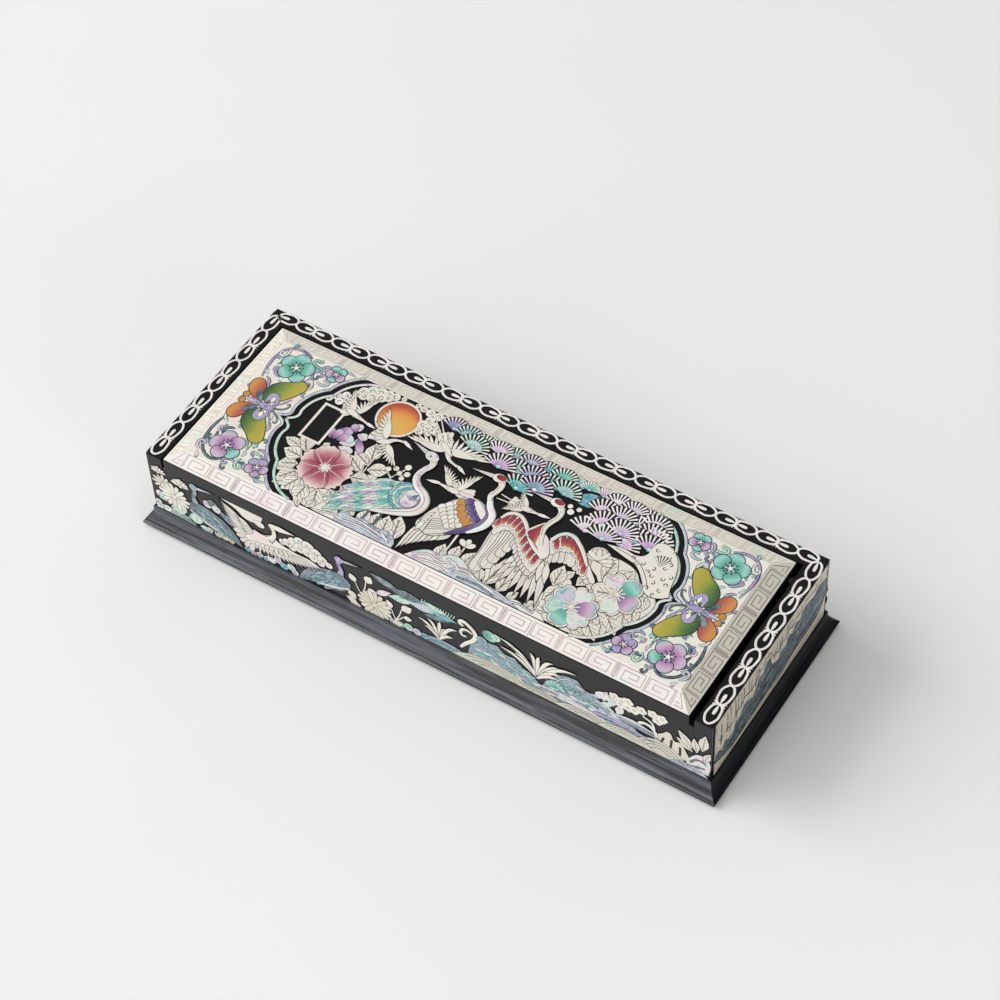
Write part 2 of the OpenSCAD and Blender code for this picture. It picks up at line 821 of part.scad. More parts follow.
left_wall();
right_wall();
back_wall();
front_wall();
floor_board();
plinth_left();
plinth_right();
plinth_back();
plinth_front();
base_felt();
pivot_pin_left();
pivot_pin_right();
pin_plug_left();
pin_plug_right();
floor_velvet();
left_velvet();
right_velvet();
back_velvet();
front_velvet();
left_chain();
right_chain();
back_chain();
front_ivory();
front_abalone();
back_ivory();
back_abalone();
left_ivory();
left_abalone();
right_ivory();
right_abalone();
lid_board();
lid_velvet();
fret_left();
fret_right();
fret_back();
fret_front();
field_left();
field_right();
edge_line_left();
edge_line_right();
plaque_frame();
sun_disc();
sun_ring();
clouds();
flying_cranes();
peony();
foliage();
crane_left();
crane_middle();
crane_right();
crane_red();
pine_fans();
pine_trunk();
blossoms();
rocks();
butterfly_left();
butterfly_right();
spandrel_left();
spandrel_right();
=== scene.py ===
# %% [markdown]
# # Mother-of-pearl pen case
# A long, low box in black lacquer, inlaid all over with thin pieces of shell. The imported CAD model gives the
# walls, the lid, the pins and where every inlay lies, and this script dresses it.

import random
from functools import lru_cache
from math import atan2, cos, degrees, pi, radians, sin

import bmesh
import bpy
from mathutils import Matrix, Vector


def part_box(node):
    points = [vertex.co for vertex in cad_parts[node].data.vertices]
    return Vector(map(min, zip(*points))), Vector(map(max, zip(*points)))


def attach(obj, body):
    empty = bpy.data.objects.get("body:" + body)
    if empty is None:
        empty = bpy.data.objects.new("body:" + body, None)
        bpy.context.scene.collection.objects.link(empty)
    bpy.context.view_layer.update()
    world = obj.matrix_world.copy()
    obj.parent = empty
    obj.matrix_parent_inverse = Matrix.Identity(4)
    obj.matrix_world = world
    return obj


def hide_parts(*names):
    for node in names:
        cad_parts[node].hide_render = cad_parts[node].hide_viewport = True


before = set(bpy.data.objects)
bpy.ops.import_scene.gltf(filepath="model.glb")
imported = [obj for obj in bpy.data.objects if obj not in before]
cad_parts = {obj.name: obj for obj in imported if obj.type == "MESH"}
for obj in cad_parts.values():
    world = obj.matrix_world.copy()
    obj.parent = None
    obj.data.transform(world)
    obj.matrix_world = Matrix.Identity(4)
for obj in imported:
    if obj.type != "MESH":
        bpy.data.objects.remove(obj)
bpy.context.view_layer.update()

# %% [markdown]
# The photograph looks down at the front and the right end of the case, from about 51 degrees, through a long
# lens. The camera's three axes come from a fit of the case's corners, so they are written as directions: one
# to the right, one up the picture, and one from the case back towards the eye.

# %% Camera
RIGHT = Vector((0.84539, 0.53304, -0.03283))
UP = Vector((-0.39560, 0.66640, 0.63203))
BACK = Vector((0.35877, -0.52132, 0.77429))
EYE = Vector((0.35704, -0.50623, 0.80068))
LENS = 97.51

camera = bpy.data.objects.new("camera", bpy.data.cameras.new("camera"))
bpy.context.scene.collection.objects.link(camera)
camera.data.lens = LENS
camera.data.clip_start, camera.data.clip_end = 0.05, 20
axes = Matrix((RIGHT.normalized(), UP.normalized(), BACK.normalized())).transposed()
camera.matrix_world = Matrix.Translation(EYE) @ axes.to_4x4()
bpy.context.scene.camera = camera
print("camera stands", round(EYE.length, 3), "m from the case")

# %% [markdown]
# Gloss needs something to reflect. A broad softbox high on the left gives most of the light, so the shadow
# falls short and soft to the right. A second one in front lights the near wall and shows in the hollow of
# the plinth, and a weak one fills the right-hand end. A far softbox loses little power across the floor, so
# all stand well back. No camera ray sees them. The floor is a wide sheet that curves up into a backdrop, so
# no horizon shows.

# %% Light and floor
scene = bpy.context.scene
scene.view_settings.view_transform = "Standard"


def softbox(name, at, size, power, colour):
    """A soft square light that faces the case."""
    light = bpy.data.lights.new(name, "AREA")
    light.size, light.energy, light.color = size, power, colour
    obj = bpy.data.objects.new(name, light)
    obj.location = at
    obj.rotation_euler = Vector(at).to_track_quat("Z", "Y").to_euler()
    obj.visible_camera = False
    scene.collection.objects.link(obj)
    return obj


softbox("wide", (-3.0, -1.0, 2.2), 2.6, 100, (1.0, 0.99, 0.97))
softbox("front", (-1.1, -2.2, 1.5), 2.0, 19, (0.95, 0.975, 1.0))
softbox("side", (1.6, -0.7, 0.5), 0.9, 9, (1.0, 0.985, 0.95))

FLOOR_REACH, BACKDROP_RISE, BACKDROP_BEND = 2.4, 2.2, 1.1
floor_mesh = bmesh.new()
bmesh.ops.create_grid(floor_mesh, x_segments=1, y_segments=1, size=FLOOR_REACH)
far_edge = [e for e in floor_mesh.edges if all(v.co.y > 1 for v in e.verts)]
rise = bmesh.ops.extrude_edge_only(floor_mesh, edges=far_edge)["geom"]
risen = [v for v in rise if isinstance(v, bmesh.types.BMVert)]
bmesh.ops.translate(floor_mesh, verts=risen, vec=(0, 0.4, BACKDROP_RISE))
corner = [e for e in floor_mesh.edges if all(v.co.y > FLOOR_REACH - 0.01 and v.co.z < 0.01 for v in e.verts)]
bmesh.ops.bevel(
    floor_mesh, geom=corner, offset=BACKDROP_BEND, segments=12, profile=0.5, affect="EDGES", material=-1)
floor_data = bpy.data.meshes.new("floor")
floor_mesh.to_mesh(floor_data)
floor = bpy.data.objects.new("floor", floor_data)
scene.collection.objects.link(floor)
print("floor faces:", len(floor_data.polygons))

# %% [markdown]
# Every finish here is a node material. Two small classes keep them readable. A Wire holds one output socket,
# and its operators add Math nodes, so `1 - mask` can be written as it reads. A Finish is one material: its
# node method adds any other node, with settings first and then the values or wires of its sockets.

# %% Finish maker
def sum_node(operation):
    """The method of a Wire that adds a Math node with this operation."""
    def method(wire, *others):
        return wire.finish.node("ShaderNodeMath", {"operation": operation}, wire, *others)
    return method


class Wire:
    """An output socket that can be used in sums."""

    def __init__(self, finish, socket):
        self.finish, self.socket = finish, socket

    def __rsub__(self, other):
        return self.finish.node("ShaderNodeMath", {"operation": "SUBTRACT"}, other, self)

    __add__ = __radd__ = sum_node("ADD")
    __mul__ = __rmul__ = sum_node("MULTIPLY")
    __sub__, __truediv__, __pow__ = sum_node("SUBTRACT"), sum_node("DIVIDE"), sum_node("POWER")
    __lt__, __gt__, __abs__ = sum_node("LESS_THAN"), sum_node("GREATER_THAN"), sum_node("ABSOLUTE")
    fraction, larger = sum_node("FRACT"), sum_node("MAXIMUM")


class Finish:
    """A material round one Principled shader, or the world round its Background."""

    def __init__(self, name, shader="Principled BSDF", **sockets):
        self.material = (bpy.data.worlds if shader == "Background" else bpy.data.materials).new(name)
        self.material.use_nodes = True
        self.tree = self.material.node_tree
        self.shader = self.tree.nodes[shader]
        self.set(**sockets)

    def node(self, kind, settings=None, *values, out=0, **named):
        node = self.tree.nodes.new(kind)
        for key, value in (settings or {}).items():
            if key == "stops":
                ramp = node.color_ramp.elements
                while len(ramp) < len(value):
                    ramp.new(0.5)
                for stop, (place, *colour) in zip(ramp, value):
                    stop.position, stop.color = place, (*colour, 1)
            else:
                setattr(node, key, value)
        for key, value in [*enumerate(values), *named.items()]:
            if value is not None:
                self.feed(node.inputs[key.replace("_", " ") if isinstance(key, str) else key], value)
        return Wire(self, node.outputs[out])

    def feed(self, socket, value):
        if isinstance(value, Wire):
            self.tree.links.new(value.socket, socket)
        elif isinstance(value, tuple) and len(value) == 3 and socket.type == "RGBA":
            socket.default_value = (*value, 1)
        else:
            socket.default_value = value

    def set(self, **sockets):
        for key, value in sockets.items():
            self.feed(self.shader.inputs[key.replace("_", " ")], value)
        return self

    def place(self, offset=(0, 0, 0), scale=(1, 1, 1)):
        """Object coordinates, moved and scaled."""
        where = self.node("ShaderNodeTexCoord", out="Object")
        return self.node("ShaderNodeMapping", None, where, Location=offset, Scale=scale)

    def axis(self, vector, name):
        return self.node("ShaderNodeSeparateXYZ", None, vector, out=name)

    def noise(self, where, scale, detail=2.0, rough=0.5, distort=0.0):
        return self.node("ShaderNodeTexNoise", None, Vector=where, Scale=scale, Detail=detail,
                         Roughness=rough, Distortion=distort)

    def ramp(self, value, *stops):
        return self.node("ShaderNodeValToRGB", {"stops": stops}, value)

    def mix(self, amount, a, b, way="MIX"):
        """Two colours: the Mix node keeps its colour sockets after those for numbers and vectors."""
        colours = {"data_type": "RGBA", "blend_type": way}
        return self.node("ShaderNodeMix", colours, amount, *[None] * 5, a, b, out=2)

    def bump(self, height, strength, distance):
        return self.node("ShaderNodeBump", None, Strength=strength, Distance=distance, Height=height)


print("finish maker ready")

# %% [markdown]
# The world lights every side a little, as white studio walls do. It is darker low on the right, and that
# keeps the right-hand plinth black.

# %% World
studio = Finish("studio", "Background")
toward = studio.node("ShaderNodeTexCoord", out="Generated")
low_right = studio.axis(toward, "X") - 0.9 * studio.axis(toward, "Z")
studio.set(Color=studio.ramp(low_right, (0.0, 0.53, 0.53, 0.535), (0.45, 0.04, 0.04, 0.045)))
scene.world = studio.material
print("world made")

# %% [markdown]
# Lacquer is black, deep and very smooth, with a clear coat on top. A slow noise changes its roughness a
# little, which keeps wide reflections from looking like glass, and a very shallow bump gives the orange-peel
# that a brushed coat dries with.

# %% Lacquer
lacquer = Finish("black_lacquer", IOR=1.33)
where = lacquer.place()
mottle = lacquer.noise(where, 55, 4, 0.6)
lacquer.set(Base_Color=lacquer.ramp(mottle, (0.3, 0.0035, 0.0036, 0.0042), (0.75, 0.0065, 0.0066, 0.0072)),
            Roughness=0.1 + 0.08 * mottle,
            Normal=lacquer.bump(lacquer.noise(where, 420, 1), 0.05, 0.0002))


def plinth_lacquer(name, scale, ior, light):
    """The plinth is rubbed down along its length into long marks, so it is duller, and the light, a little
    blue colour in the marks is painted sheen.
    """
    finish = Finish(name, IOR=ior)
    rub_and_sheen = finish.noise(finish.place(scale=scale), 60, 4, 0.65)
    return finish.set(Base_Color=finish.ramp(rub_and_sheen, (0.45, 0.002, 0.0025, 0.004), (0.58, *light)),
                      Roughness=0.12 + 0.4 * rub_and_sheen, Normal=finish.bump(rub_and_sheen, 0.25, 0.0004))


# Front and back plinths get blue-grey painted sheen, the reflection of the bright room in front; the ends keep
# near-black lacquer.
plinth_long = plinth_lacquer("plinth_long", (0.5, 12, 12), 1.7, (0.078, 0.086, 0.108))
plinth_short = plinth_lacquer("plinth_short", (12, 0.5, 12), 1.22, (0.01, 0.011, 0.014))

gap = Finish("lacquer_gap", Base_Color=(0.0055, 0.0055, 0.006), IOR=1.4)
gap.set(Roughness=0.24 + 0.2 * gap.noise(gap.place(), 300, 2))

ink = Finish("engraved_line", IOR=1.45)
tone = ink.noise(ink.place(), 260, 2)
ink.set(Base_Color=ink.ramp(tone, (0.3, 0.02, 0.016, 0.013), (0.7, 0.055, 0.042, 0.032)),
        Roughness=0.55 + 0.1 * ink.noise(ink.place(), 500))
print("lacquer, gap and engraved line made")

# %% [markdown]
# Each piece of shell is sawn from a different place of a different shell, so no two match. The builder below
# writes one random number on every piece, as an attribute named cut, and the finishes add it to their
# coordinates. The pattern then jumps from piece to piece, just as in real inlay.

# %% Shell figure
def shell_place(finish, wander=1.0):
    """Object coordinates that jump from one cut piece to the next."""
    cut = finish.node("ShaderNodeAttribute", {"attribute_name": "cut"}, out="Fac")
    jump = finish.node(
        "ShaderNodeCombineXYZ", None, cut * wander, cut * (0.37 * wander), cut * (0.61 * wander))
    return finish.node("ShaderNodeVectorMath", {"operation": "ADD"}, finish.place(), jump), cut


def along(finish):
    """How far along its piece a point lies, from 0 to 1, and how far from the middle line, from 0 to 0.5."""
    uv = finish.node("ShaderNodeTexCoord", out="UV")
    return finish.axis(uv, "X"), abs(finish.axis(uv, "Y") - 0.5)


def ivory_shell(name, cream, rose, mint, lines=None):
    """White shell: cream with rose and green clouds and fine growth lines. Lines are engraved along it."""
    finish = Finish(name, IOR=1.56, Coat_Weight=0.45, Coat_Roughness=0.09)
    where, cut = shell_place(finish)
    cloud = finish.noise(where, 95, 3, 0.55, 0.6)
    colour = finish.ramp(cloud, (0.3, *rose), (0.46, *cream), (0.56, *cream), (0.72, *mint))
    stretched = finish.node("ShaderNodeMapping", None, where, (0, 0, 0), (0, 0, 0.6), (1, 5, 1))
    growth = finish.noise(stretched, 420, 3, 0.6)
    colour = finish.mix(0.14 + 0.2 * growth, colour, (0.7, 0.66, 0.58), "MULTIPLY")
    colour = finish.mix(cut * 0.4, colour, (0.8, 0.79, 0.75), "MULTIPLY")
    if lines:
        colour = finish.mix(lines(finish), colour, (0.1, 0.075, 0.055))
    return finish.set(Base_Color=colour, Roughness=0.22 + 0.16 * growth,
                      Normal=finish.bump(growth, 0.08, 0.0002))


def leaf_veins(finish):
    """A rib down the middle, and side veins that slant towards the tip."""
    u, v = along(finish)
    rib = v + u * 0.02 < 0.055
    side = ((u * 4.4 - v * 4).fraction() < 0.19) * (v < 0.36)
    return rib.larger(side) * (u < 0.82) * (u > 0.1) * 0.85


def feather_barbs(finish):
    """Fine slanting barbs on both sides of the quill."""
    u, v = along(finish)
    barb = ((u * 22 + v * 8).fraction() < 0.22) * (v > 0.16)
    return barb * 0.26 + (v < 0.05) * 0.34


CREAM, ROSE, MINT = (0.89, 0.86, 0.77), (0.9, 0.75, 0.75), (0.73, 0.87, 0.79)
ivory = ivory_shell("ivory_shell", CREAM, ROSE, MINT)
ivory_leaf = ivory_shell("ivory_leaf", CREAM, (0.86, 0.81, 0.74), (0.81, 0.82, 0.71), leaf_veins)
ivory_feather = ivory_shell("ivory_feather", (0.87, 0.84, 0.77), ROSE, (0.79, 0.83, 0.78), feather_barbs)
ivory_warm = ivory_shell("ivory_warm", (0.78, 0.735, 0.61), (0.8, 0.72, 0.63), (0.68, 0.69, 0.59))
# On the right-hand bevel this grey white is painted shade.
ivory_grey = ivory_shell("ivory_grey", (0.7, 0.69, 0.59), (0.74, 0.66, 0.62), (0.62, 0.68, 0.59))
ivory_brown = ivory_shell("ivory_brown", (0.62, 0.56, 0.43), (0.58, 0.48, 0.4), (0.46, 0.48, 0.38))
# On the front bevel this brightest white is painted sheen.
pearl_rose = ivory_shell("pearl_rose", (0.95, 0.925, 0.9), (0.95, 0.81, 0.86), (0.83, 0.93, 0.89))
WHITES = (ivory, ivory_leaf, ivory_feather, ivory_warm, ivory_grey, ivory_brown, pearl_rose)
print("white shell:", [finish.material.name for finish in WHITES])

# %% [markdown]
# Abalone is the coloured shell. Thin layers in it play from blue to green to rose, in bands that swirl. A
# noise with strong distortion makes the swirl, and a ramp with many stops turns its value into the play of
# colour. The colours stay in the base colour and don't depend on where the eye is, so they hold in every
# view.

# %% Abalone
def abalone_shell(name, scale, *stops, gloss=1.0):
    finish = Finish(
        name, IOR=1.58, Coat_Weight=0.6 * gloss, Coat_Roughness=0.07, Specular_IOR_Level=0.5 * gloss)
    where, cut = shell_place(finish, 2.0)
    swirl = finish.noise(where, scale, 2.5, 0.55, 2.2)
    stretched = finish.node("ShaderNodeMapping", None, where, (0, 0, 0), (0, 0, 0.8), (1, 3.2, 1))
    band = finish.noise(stretched, scale * 5, 2)
    value = swirl * 0.72 + band * 0.18 + cut * 0.1
    colour = finish.ramp(value, *stops)
    dark = finish.noise(where, scale * 9, 3, 0.7)
    return finish.set(Base_Color=finish.mix(dark * 0.45, colour, (0.42, 0.47, 0.5), "MULTIPLY"),
                      Roughness=0.16 + 0.2 * band, Normal=finish.bump(dark, 0.06, 0.0002))


abalone = abalone_shell(
    "abalone", 180, (0.3, 0.1, 0.26, 0.4), (0.37, 0.2, 0.6, 0.56), (0.43, 0.62, 0.82, 0.7),
    (0.48, 0.56, 0.5, 0.72), (0.53, 0.86, 0.66, 0.74), (0.58, 0.42, 0.62, 0.72),
    (0.64, 0.34, 0.7, 0.52), (0.72, 0.44, 0.3, 0.56))
abalone_blue = abalone_shell(
    "abalone_blue", 160, (0.32, 0.03, 0.1, 0.2), (0.4, 0.08, 0.36, 0.46), (0.47, 0.2, 0.58, 0.56),
    (0.52, 0.16, 0.3, 0.54), (0.58, 0.52, 0.7, 0.74), (0.68, 0.1, 0.34, 0.34))
abalone_rose = abalone_shell(
    "abalone_rose", 170, (0.33, 0.46, 0.34, 0.56), (0.41, 0.74, 0.56, 0.7), (0.47, 0.9, 0.76, 0.77),
    (0.53, 0.84, 0.86, 0.78), (0.59, 0.56, 0.78, 0.7), (0.7, 0.56, 0.56, 0.72))
abalone_green = abalone_shell(
    "abalone_green", 170, (0.32, 0.06, 0.28, 0.24), (0.4, 0.18, 0.56, 0.42), (0.48, 0.52, 0.8, 0.62),
    (0.55, 0.76, 0.83, 0.71), (0.61, 0.3, 0.64, 0.6), (0.7, 0.66, 0.56, 0.66))
abalone_pale = abalone_shell(
    "abalone_pale", 160, (0.32, 0.52, 0.5, 0.56), (0.41, 0.84, 0.77, 0.77), (0.49, 0.9, 0.87, 0.77),
    (0.56, 0.64, 0.82, 0.73), (0.63, 0.86, 0.83, 0.75), (0.72, 0.66, 0.58, 0.7))
abalone_dusk = abalone_shell(
    "abalone_dusk", 150, (0.32, 0.018, 0.03, 0.044), (0.42, 0.055, 0.095, 0.12), (0.49, 0.085, 0.2, 0.21),
    (0.54, 0.15, 0.18, 0.26), (0.6, 0.28, 0.38, 0.39), (0.7, 0.22, 0.17, 0.27))
abalone_night = abalone_shell(
    "abalone_night", 130, (0.34, 0.012, 0.018, 0.026), (0.42, 0.03, 0.046, 0.06),
    (0.47, 0.022, 0.105, 0.1), (0.51, 0.085, 0.07, 0.12), (0.56, 0.04, 0.11, 0.165),
    (0.61, 0.19, 0.24, 0.21), (0.7, 0.05, 0.04, 0.07), gloss=0.3)
abalone_cool = abalone_shell(
    "abalone_cool", 150, (0.33, 0.22, 0.26, 0.36), (0.42, 0.46, 0.5, 0.62), (0.49, 0.66, 0.6, 0.74),
    (0.55, 0.5, 0.66, 0.7), (0.62, 0.78, 0.8, 0.8), (0.72, 0.34, 0.4, 0.52))
abalone_stone = abalone_shell(
    "abalone_stone", 190, (0.32, 0.03, 0.07, 0.09), (0.39, 0.1, 0.24, 0.26), (0.45, 0.26, 0.42, 0.4),
    (0.5, 0.4, 0.36, 0.5), (0.56, 0.16, 0.34, 0.42), (0.62, 0.44, 0.52, 0.5), (0.7, 0.1, 0.16, 0.24))
lilac = abalone_shell(
    "lilac_shell", 210, (0.33, 0.1, 0.09, 0.3), (0.41, 0.36, 0.26, 0.54), (0.47, 0.64, 0.46, 0.66),
    (0.53, 0.24, 0.34, 0.6), (0.58, 0.62, 0.42, 0.56), (0.66, 0.2, 0.42, 0.48))
print("abalone finishes: 10")

# %% [markdown]
# A few pieces are stained from behind, so that the colour runs from one end of the piece to the other: amber
# and red in the sun, mauve in the peony, olive and orange in the butterflies, red in the dancing crane. Each
# reads how far along its own piece a point lies, from the UV map that the cutter writes.

# %% Stained shell
def stained_shell(name, *stops, veins=0.0):
    finish = Finish(name, IOR=1.55, Coat_Weight=0.6, Coat_Roughness=0.06)
    where, _ = shell_place(finish)
    u, v = along(finish)
    blotch = finish.noise(where, 240, 3, 0.6)
    colour = finish.ramp(u + (blotch - 0.5) * 0.22, *stops)
    if veins:
        vein = (v * (9 + 5 * (1 - u))).fraction() < 0.16
        colour = finish.mix(vein * veins, colour, (0.3, 0.1, 0.14))
    return finish.set(Base_Color=finish.mix(blotch * 0.4, colour, (0.72, 0.7, 0.68), "MULTIPLY"),
                      Roughness=0.2 + 0.14 * blotch)


mauve = stained_shell(
    "mauve_petal", (0.1, 0.34, 0.035, 0.085), (0.46, 0.42, 0.075, 0.13), (0.66, 0.58, 0.26, 0.28),
    (0.82, 0.78, 0.56, 0.53), (0.94, 0.86, 0.77, 0.7), veins=0.15)
olive = stained_shell(
    "olive_wing", (0.05, 0.5, 0.41, 0.05), (0.38, 0.4, 0.37, 0.035),
    (0.66, 0.13, 0.24, 0.025), (0.92, 0.025, 0.095, 0.022))
orange = stained_shell(
    "orange_wing", (0.1, 0.26, 0.05, 0.09), (0.42, 0.46, 0.09, 0.06), (0.8, 0.66, 0.27, 0.06))
flame = stained_shell(
    "flame_feather", (0.15, 0.28, 0.012, 0.045), (0.6, 0.35, 0.028, 0.06),
    (0.82, 0.54, 0.14, 0.05), (0.97, 0.72, 0.42, 0.14))
violet = stained_shell(
    "violet_feather", (0.05, 0.045, 0.03, 0.14), (0.55, 0.1, 0.06, 0.23), (0.95, 0.26, 0.18, 0.36))
amber = stained_shell("amber_patch", (0.05, 0.58, 0.29, 0.06), (0.95, 0.56, 0.24, 0.05))
flower_green = stained_shell(
    "flower_green", (0.1, 0.07, 0.26, 0.24), (0.5, 0.15, 0.5, 0.39),
    (0.75, 0.36, 0.68, 0.58), (0.97, 0.22, 0.48, 0.55))
flower_rose = stained_shell(
    "flower_rose", (0.1, 0.2, 0.11, 0.3), (0.45, 0.46, 0.26, 0.47),
    (0.75, 0.68, 0.48, 0.62), (0.97, 0.32, 0.5, 0.55))
needle_rose = stained_shell(
    "needle_rose", (0.05, 0.4, 0.26, 0.66), (0.35, 0.84, 0.52, 0.78), (0.7, 0.93, 0.88, 0.86))
needle_green = stained_shell(
    "needle_green", (0.05, 0.04, 0.3, 0.32), (0.4, 0.2, 0.66, 0.52), (0.8, 0.82, 0.91, 0.8))
needle_violet = stained_shell(
    "needle_violet", (0.05, 0.14, 0.12, 0.44), (0.45, 0.5, 0.42, 0.76), (0.8, 0.9, 0.76, 0.84))
needle_teal = stained_shell(
    "needle_teal", (0.05, 0.03, 0.14, 0.26), (0.4, 0.14, 0.5, 0.58), (0.8, 0.68, 0.86, 0.82))
needle_white = stained_shell(
    "needle_white", (0.02, 0.58, 0.4, 0.74), (0.26, 0.9, 0.72, 0.84), (0.6, 0.94, 0.91, 0.88))
crown = stained_shell("red_crown", (0.05, 0.24, 0.012, 0.016), (0.95, 0.34, 0.025, 0.026))

sun = Finish("amber_sun", IOR=1.55, Coat_Weight=0.6, Coat_Roughness=0.05)
SUN_AT, SUN_RADIUS = (-0.0462, 0.0162), 0.0078
from_sun = sun.place(offset=(-SUN_AT[0], -SUN_AT[1], 0))
out_x, out_y = sun.axis(from_sun, "X"), sun.axis(from_sun, "Y")
flat = sun.node("ShaderNodeCombineXYZ", None, out_x, out_y, 0.0)
radius = sun.node("ShaderNodeVectorMath", {"operation": "LENGTH"}, flat, out="Value")
glow = 0.3 + (radius / SUN_RADIUS) ** 2 * 0.36 + out_y / (2 * SUN_RADIUS) - out_x / 0.06
glow = glow + 0.1 * sun.noise(from_sun, 300, 3)
sun.set(Base_Color=sun.ramp(glow, (0.26, 0.74, 0.4, 0.085), (0.56, 0.72, 0.31, 0.05),
                            (0.8, 0.6, 0.14, 0.03), (1.0, 0.44, 0.055, 0.02)),
        Roughness=0.16 + 0.1 * sun.noise(from_sun, 120))
print("stained finishes: 15")

# %% [markdown]
# The rest is plain: red velvet inside, dark felt below, blackened steel pins, and the pale floor. Velvet's
# pile scatters light at its edges, which is what the shader's sheen does, and its colour shifts in slow
# strokes where the pile lies another way.

# %% Cloth, steel and floor
velvet = Finish("red_velvet", Sheen_Weight=0.4, Sheen_Roughness=0.4, Sheen_Tint=(0.9, 0.45, 0.5))
where = velvet.place()
pile, stroke = velvet.noise(where, 2600, 2), velvet.noise(where, 38, 3, 0.6, 0.8)
tone = velvet.ramp(stroke, (0.3, 0.13, 0.008, 0.018), (0.7, 0.22, 0.016, 0.034))
velvet.set(Base_Color=velvet.mix(pile * 0.6, tone, (0.45, 0.35, 0.35), "MULTIPLY"),
           Roughness=0.82 + 0.12 * stroke, Normal=velvet.bump(pile, 0.5, 0.0003))

felt = Finish("dark_felt", Sheen_Weight=0.3)
where = felt.place()
fibre = felt.noise(where, 1500, 5, 0.7, 1.2)
felt.set(Base_Color=felt.ramp(fibre, (0.3, 0.01, 0.012, 0.018), (0.7, 0.035, 0.04, 0.052)),
         Roughness=0.9 + 0.08 * fibre, Normal=felt.bump(fibre, 0.7, 0.0004))

steel = Finish("blackened_steel", Metallic=1.0)
where = steel.place(scale=(1, 30, 30))
turned = steel.noise(where, 160, 3, 0.6)
steel.set(Base_Color=steel.ramp(turned, (0.3, 0.03, 0.03, 0.032), (0.7, 0.07, 0.069, 0.068)),
          Roughness=0.28 + 0.2 * turned)

pale = Finish("pale_floor")
tone = pale.noise(pale.place(), 3, 2)
pale.set(Base_Color=pale.ramp(tone, (0.3, 0.83, 0.83, 0.825), (0.7, 0.86, 0.86, 0.855)),
         Roughness=0.55 + 0.08 * pale.noise(pale.place(), 40))
floor.data.materials.append(pale.material)
print("velvet, felt, steel and floor made")

# %% [markdown]
# The CAD boards have perfectly sharp edges, and no lacquered edge is that sharp: the coats round it, and the
# rounding is what catches the light. A copy of each board is merged, because a CAD mesh comes as loose
# triangles, its flat faces are joined again, and its long edges get a small bevel.

# %% Boards with softened edges
def finish_piece(obj, body, nodes, slot, *finishes):
    """Links a piece, lets it ride on its body, and puts it in place of its CAD nodes."""
    for finish in finishes:
        obj.data.materials.append(finish.material)
    scene.collection.objects.link(obj)
    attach(obj, body)
    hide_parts(*nodes)
    return obj


SHARP_TURN, SHORTEST_EDGE = radians(25), 0.003


def softened(node, body, slot, finish, width):
    bm = bmesh.new()
    bm.from_mesh(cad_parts[node].data)
    bmesh.ops.remove_doubles(bm, verts=bm.verts, dist=1e-6)
    bmesh.ops.dissolve_limit(bm, angle_limit=radians(1), verts=bm.verts, edges=bm.edges)
    sharp = [e for e in bm.edges if e.calc_length() > SHORTEST_EDGE and e.calc_face_angle(0) > SHARP_TURN]
    bmesh.ops.bevel(bm, geom=sharp, offset=width, segments=2, profile=0.5, affect="EDGES",
                    clamp_overlap=True, material=-1)
    data = bpy.data.meshes.new(node + "_soft")
    bm.to_mesh(data)
    return finish_piece(bpy.data.objects.new(node + "_soft", data), body, [node], slot, finish)


def dress(node, finish):
    """Gives a CAD node that stays as it is its finish."""
    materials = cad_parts[node].data.materials
    materials.clear()
    materials.append(finish.material)


for node in ("left_wall", "right_wall", "back_wall", "front_wall"):
    softened(node, "case", "lacquer", lacquer, 0.00022)
for node, finish in (
        ("plinth_left", plinth_short), ("plinth_right", plinth_short),
        ("plinth_back", plinth_long), ("plinth_front", plinth_long)):
    softened(node, "case", "plinth_lacquer", finish, 0.00015)
softened("floor_board", "case", "base_wood", lacquer, 0.0002)
softened("lid_board", "lid", "lacquer", lacquer, 0.00025)
for end in ("left", "right"):
    dress("pivot_pin_" + end, steel)
    dress("pin_plug_" + end, lacquer)
print("softened boards: 10, pins and plugs: 4")

# %% [markdown]
# Velvet lines the inside. Each panel is cloth drawn over card, so its edge rolls away and its face swells a
# little. A box is cut into a grid, the points near the border of the open face sink towards the card, and a
# low wave over the rest keeps it from looking machined. The felt below the base is made the same way, and
# thinner.

# %% Velvet panels and felt
PANEL_CELL, ROLL_REACH, WAVE_REACH = 0.003, 0.0011, 0.004


def panel(node, facing, roll, wave, finish, slot, body):
    """A soft panel in the box of a CAD node. Facing is the direction of its open face."""
    low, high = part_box(node)
    size, middle, facing = high - low, (low + high) / 2, Vector(facing)
    axis = max(range(3), key=lambda k: abs(facing[k]))
    flat = [k for k in range(3) if k != axis]
    bm = bmesh.new()
    bmesh.ops.create_cube(bm, size=1)
    for k in flat:
        runs = [e for e in bm.edges if abs((e.verts[0].co - e.verts[1].co)[k]) > 0.5]
        bmesh.ops.subdivide_edges(bm, edges=runs, cuts=max(6, int(size[k] / PANEL_CELL)), use_grid_fill=True)
    for v in bm.verts:
        open_side = v.co.dot(facing) > 0
        v.co = Vector(c * s for c, s in zip(v.co, size)) + middle
        border = min(size[k] / 2 - abs(v.co[k] - middle[k]) for k in flat)
        if open_side:
            swell = sin(v.co[flat[0]] * 210) * sin(v.co[flat[1]] * 260 + 1)
            sink = roll * 2.718 ** (-border / ROLL_REACH) + wave * (1 - swell) * min(1, border / WAVE_REACH)
            v.co -= facing * min(sink, size[axis] * 0.7)
    bmesh.ops.recalc_face_normals(bm, faces=bm.faces)
    data = bpy.data.meshes.new(node + "_panel")
    bm.to_mesh(data)
    data.shade_smooth()
    return finish_piece(bpy.data.objects.new(node + "_panel", data), body, [node], slot, finish)


